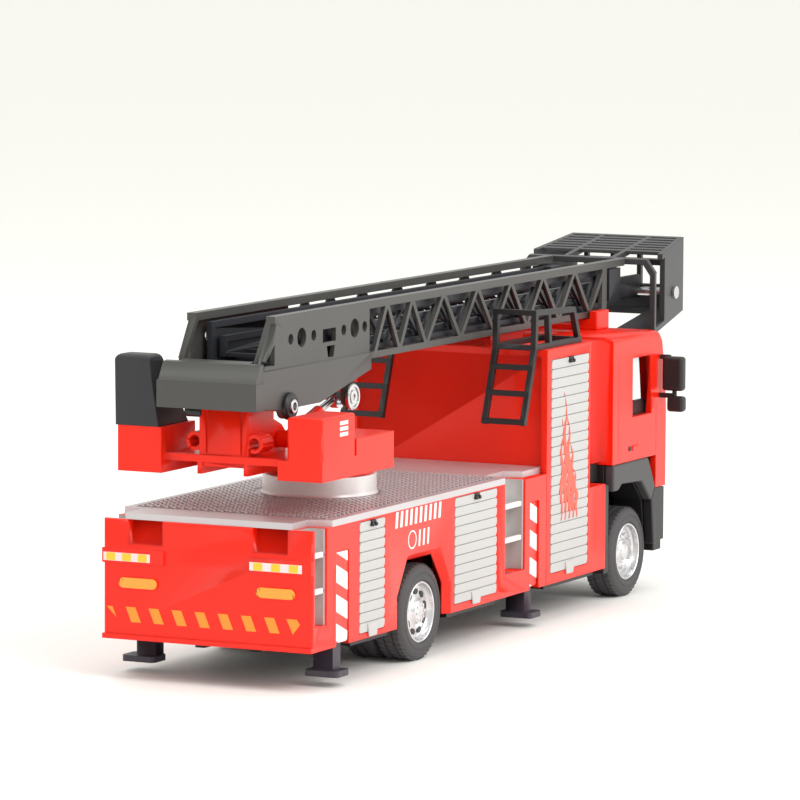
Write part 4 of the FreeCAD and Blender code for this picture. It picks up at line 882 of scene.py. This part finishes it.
def makeFittings(plan):
    for side, sideName in ((1, "Left"), (-1, "Right")):
        x, z = plan["pivot"]
        bm = bmesh.new()
        near = side * 12.2
        roundInto(bm, [(near, 1.75), (near, 3.3), (side * 13.2, 3.3), (side * 13.6, 2.9),
                       (side * 13.6, 1.75), (near, 1.75)], x, z, 40)
        pieceFrom(bm, "pivotCollar" + sideName, blackPlastic, "ladder_base", "ladder_grey")
        bm = bmesh.new()
        roundInto(bm, [(near, 1.0), (near, 1.7), (side * 14.0, 1.7), (side * 14.15, 1.5),
                       (side * 14.15, 1.0), (near, 1.0)], x, z, 40)
        pieceFrom(bm, "pivotSleeve" + sideName, platedChrome, "ladder_base", "plated")
        x, z = plan["head"]
        bm = bmesh.new()
        face = side * 12.95
        roundInto(bm, [(face, 2.5), (face, 3.1), (side * 13.15, 3.15), (side * 13.3, 2.9),
                       (side * 13.25, 2.5), (face, 2.5)], x, z, 40)
        roundInto(bm, [(face, 0.8), (face, 1.7), (side * 13.25, 1.7), (side * 13.3, 1.5),
                       (side * 13.2, 0.8), (face, 0.8)], x, z, 32)
        pieceFrom(bm, "discRings" + sideName, platedChrome, "ladder_base", "plated")
    bm = bmesh.new()
    boss = plan["boss"]
    for side in (1, -1):
        for step in range(boss["steps"]):
            first = 2 * math.pi * step / boss["steps"]
            second = 2 * math.pi * (step + 1) / boss["steps"]
            corners = ((boss["outer"], first), (boss["outer"], second), (boss["bore"], second),
                       (boss["bore"], first))
            ring = [(side * boss["out"] + r * math.cos(a), boss["height"] + r * math.sin(a)) for r,
                    a in corners]
            prismInto(bm, ring, "x", *boss["ends"])
    pieceFrom(bm, "winchBosses", redAbs, "turntable", "red_plastic")
    bm = bmesh.new()
    roller = plan["roller"]
    (near, far), wide, cut = roller["ends"], roller["radius"], roller["chamfer"]
    roundInto(bm, [(near, 0.02), (near, wide - 0.2), (near + cut, wide), (far - cut, wide),
                   (far, wide - 0.2), (far, 0.02),
                   (near, 0.02)], roller["x"], roller["height"], 28)
    pieceFrom(bm, "winchRoller", blackPlastic, "turntable", "console_grey")
    bm = bmesh.new()
    label = plan["label"]
    (x0, x1), (y0, y1) = label["x"], label["y"]
    for k in range(label["bars"]):
        low = label["low"] + label["pitch"] * k
        boxInto(bm, (x0, y0, low), (x1, y1, low + label["tall"]))
    pieceFrom(bm, "lockerLabel", whiteInk, "turntable", "shutter_white")


stepPlan = {"rear": ((1.5, 7.4), (23.2, 31.8), 22.9, 27.5),
            "front": ((106.8, 117.6), (23.2, 31.8), 22.9, 27.45)}


def makeStepEdges(plan):
    # the pale front edges of the shelves in the step bays
    for place, ((x0, x1), heights, inner, outer) in plan.items():
        for side, sideName in ((1, "Left"), (-1, "Right")):
            bm = bmesh.new()
            for z in heights:
                boxInto(bm, (x0, side * (outer - 1.1), z - 0.1), (x1, side * outer, z + 1.25))
            pieceFrom(bm, place + "StepEdges" + sideName, whiteInk, "truck", "bay_grey", radius=0.3)


cabPlan = {"handle": (185.8, 190.4, 39.0, 40.4), "seams": ((176.6, 37.4, 63.0), (201.4, 37.4, 50.0))}


def makeCabTrim(plan):
    x0, x1, z0, z1 = plan["handle"]
    for side, sideName in ((1, "Left"), (-1, "Right")):
        bm = bmesh.new()
        boxInto(bm, (x0, side * 27.9, z0), (x1, side * 28.25, z1))
        pieceFrom(bm, "doorHandle" + sideName, redAbs, "truck", "red_body", radius=0.15)
        bm = bmesh.new()
        boxInto(bm, (x0 - 2.4, side * 27.9, z0 + 0.1), (x0 - 0.6, side * 28.2, z1 - 0.1))
        pieceFrom(bm, "doorLock" + sideName, blackPlastic, "truck", "black_plastic", radius=0.12)
        # the door shut lines in dark ink, partly painted recess shadow
        bm = bmesh.new()
        for x, low, high in plan["seams"]:
            boxInto(bm, (x, side * 27.9, low), (x + 0.18, side * 28.02, high))
        pieceFrom(bm, "doorSeams" + sideName, seamShadowInk, "truck", "red_body")


makeFenders(fenderPlan)
makeMirrors(mirrorPlan)
makeFittings(fittingPlan)
makeCabTrim(cabPlan)
makeStepEdges(stepPlan)
print("small fittings placed")


# Stage

stagePlan = {
    "halfFloor": 40, "tint": (0.985, 0.972, 0.935, 1), "strength": 0.99, "aim": (0, 0, 0.04),
    "lights": (("keyLight", (-0.30, -0.80, 0.75), 0.6, 5.5), ("topLight", (0.05, 0.1, 0.95), 0.9, 2.5),
               ("sideLight", (0.7, -1.1, 0.35), 0.7, 3.0)),
}


def makeStage(plan):
    bm = bmesh.new()
    bmesh.ops.create_grid(bm, x_segments=1, y_segments=1, size=plan["halfFloor"])
    mesh = bpy.data.meshes.new("floor")
    bm.to_mesh(mesh)
    bm.free()
    floor = newObject("floor", mesh, surface("paleFloor", "#fcfcf9", "#fbfbf8", (0.55, 0.65), 4.0, 0.001))
    world = bpy.data.worlds.new("studio")
    bpy.context.scene.world = world
    world.use_nodes = True
    glow = world.node_tree.nodes["Background"].inputs
    glow["Color"].default_value = plan["tint"]
    glow["Strength"].default_value = plan["strength"]
    for name, place, size, power in plan["lights"]:
        data = bpy.data.lights.new(name, "AREA")
        data.energy = power
        data.size = size
        lamp = bpy.data.objects.new(name, data)
        lamp.location = place
        lamp.rotation_mode = "QUATERNION"
        lamp.rotation_quaternion = (Vector(plan["aim"]) - Vector(place)).to_track_quat("-Z", "Y")
        bpy.context.scene.collection.objects.link(lamp)
    bpy.context.scene.view_settings.view_transform = "Standard"


makeStage(stagePlan)
print("stage lit")
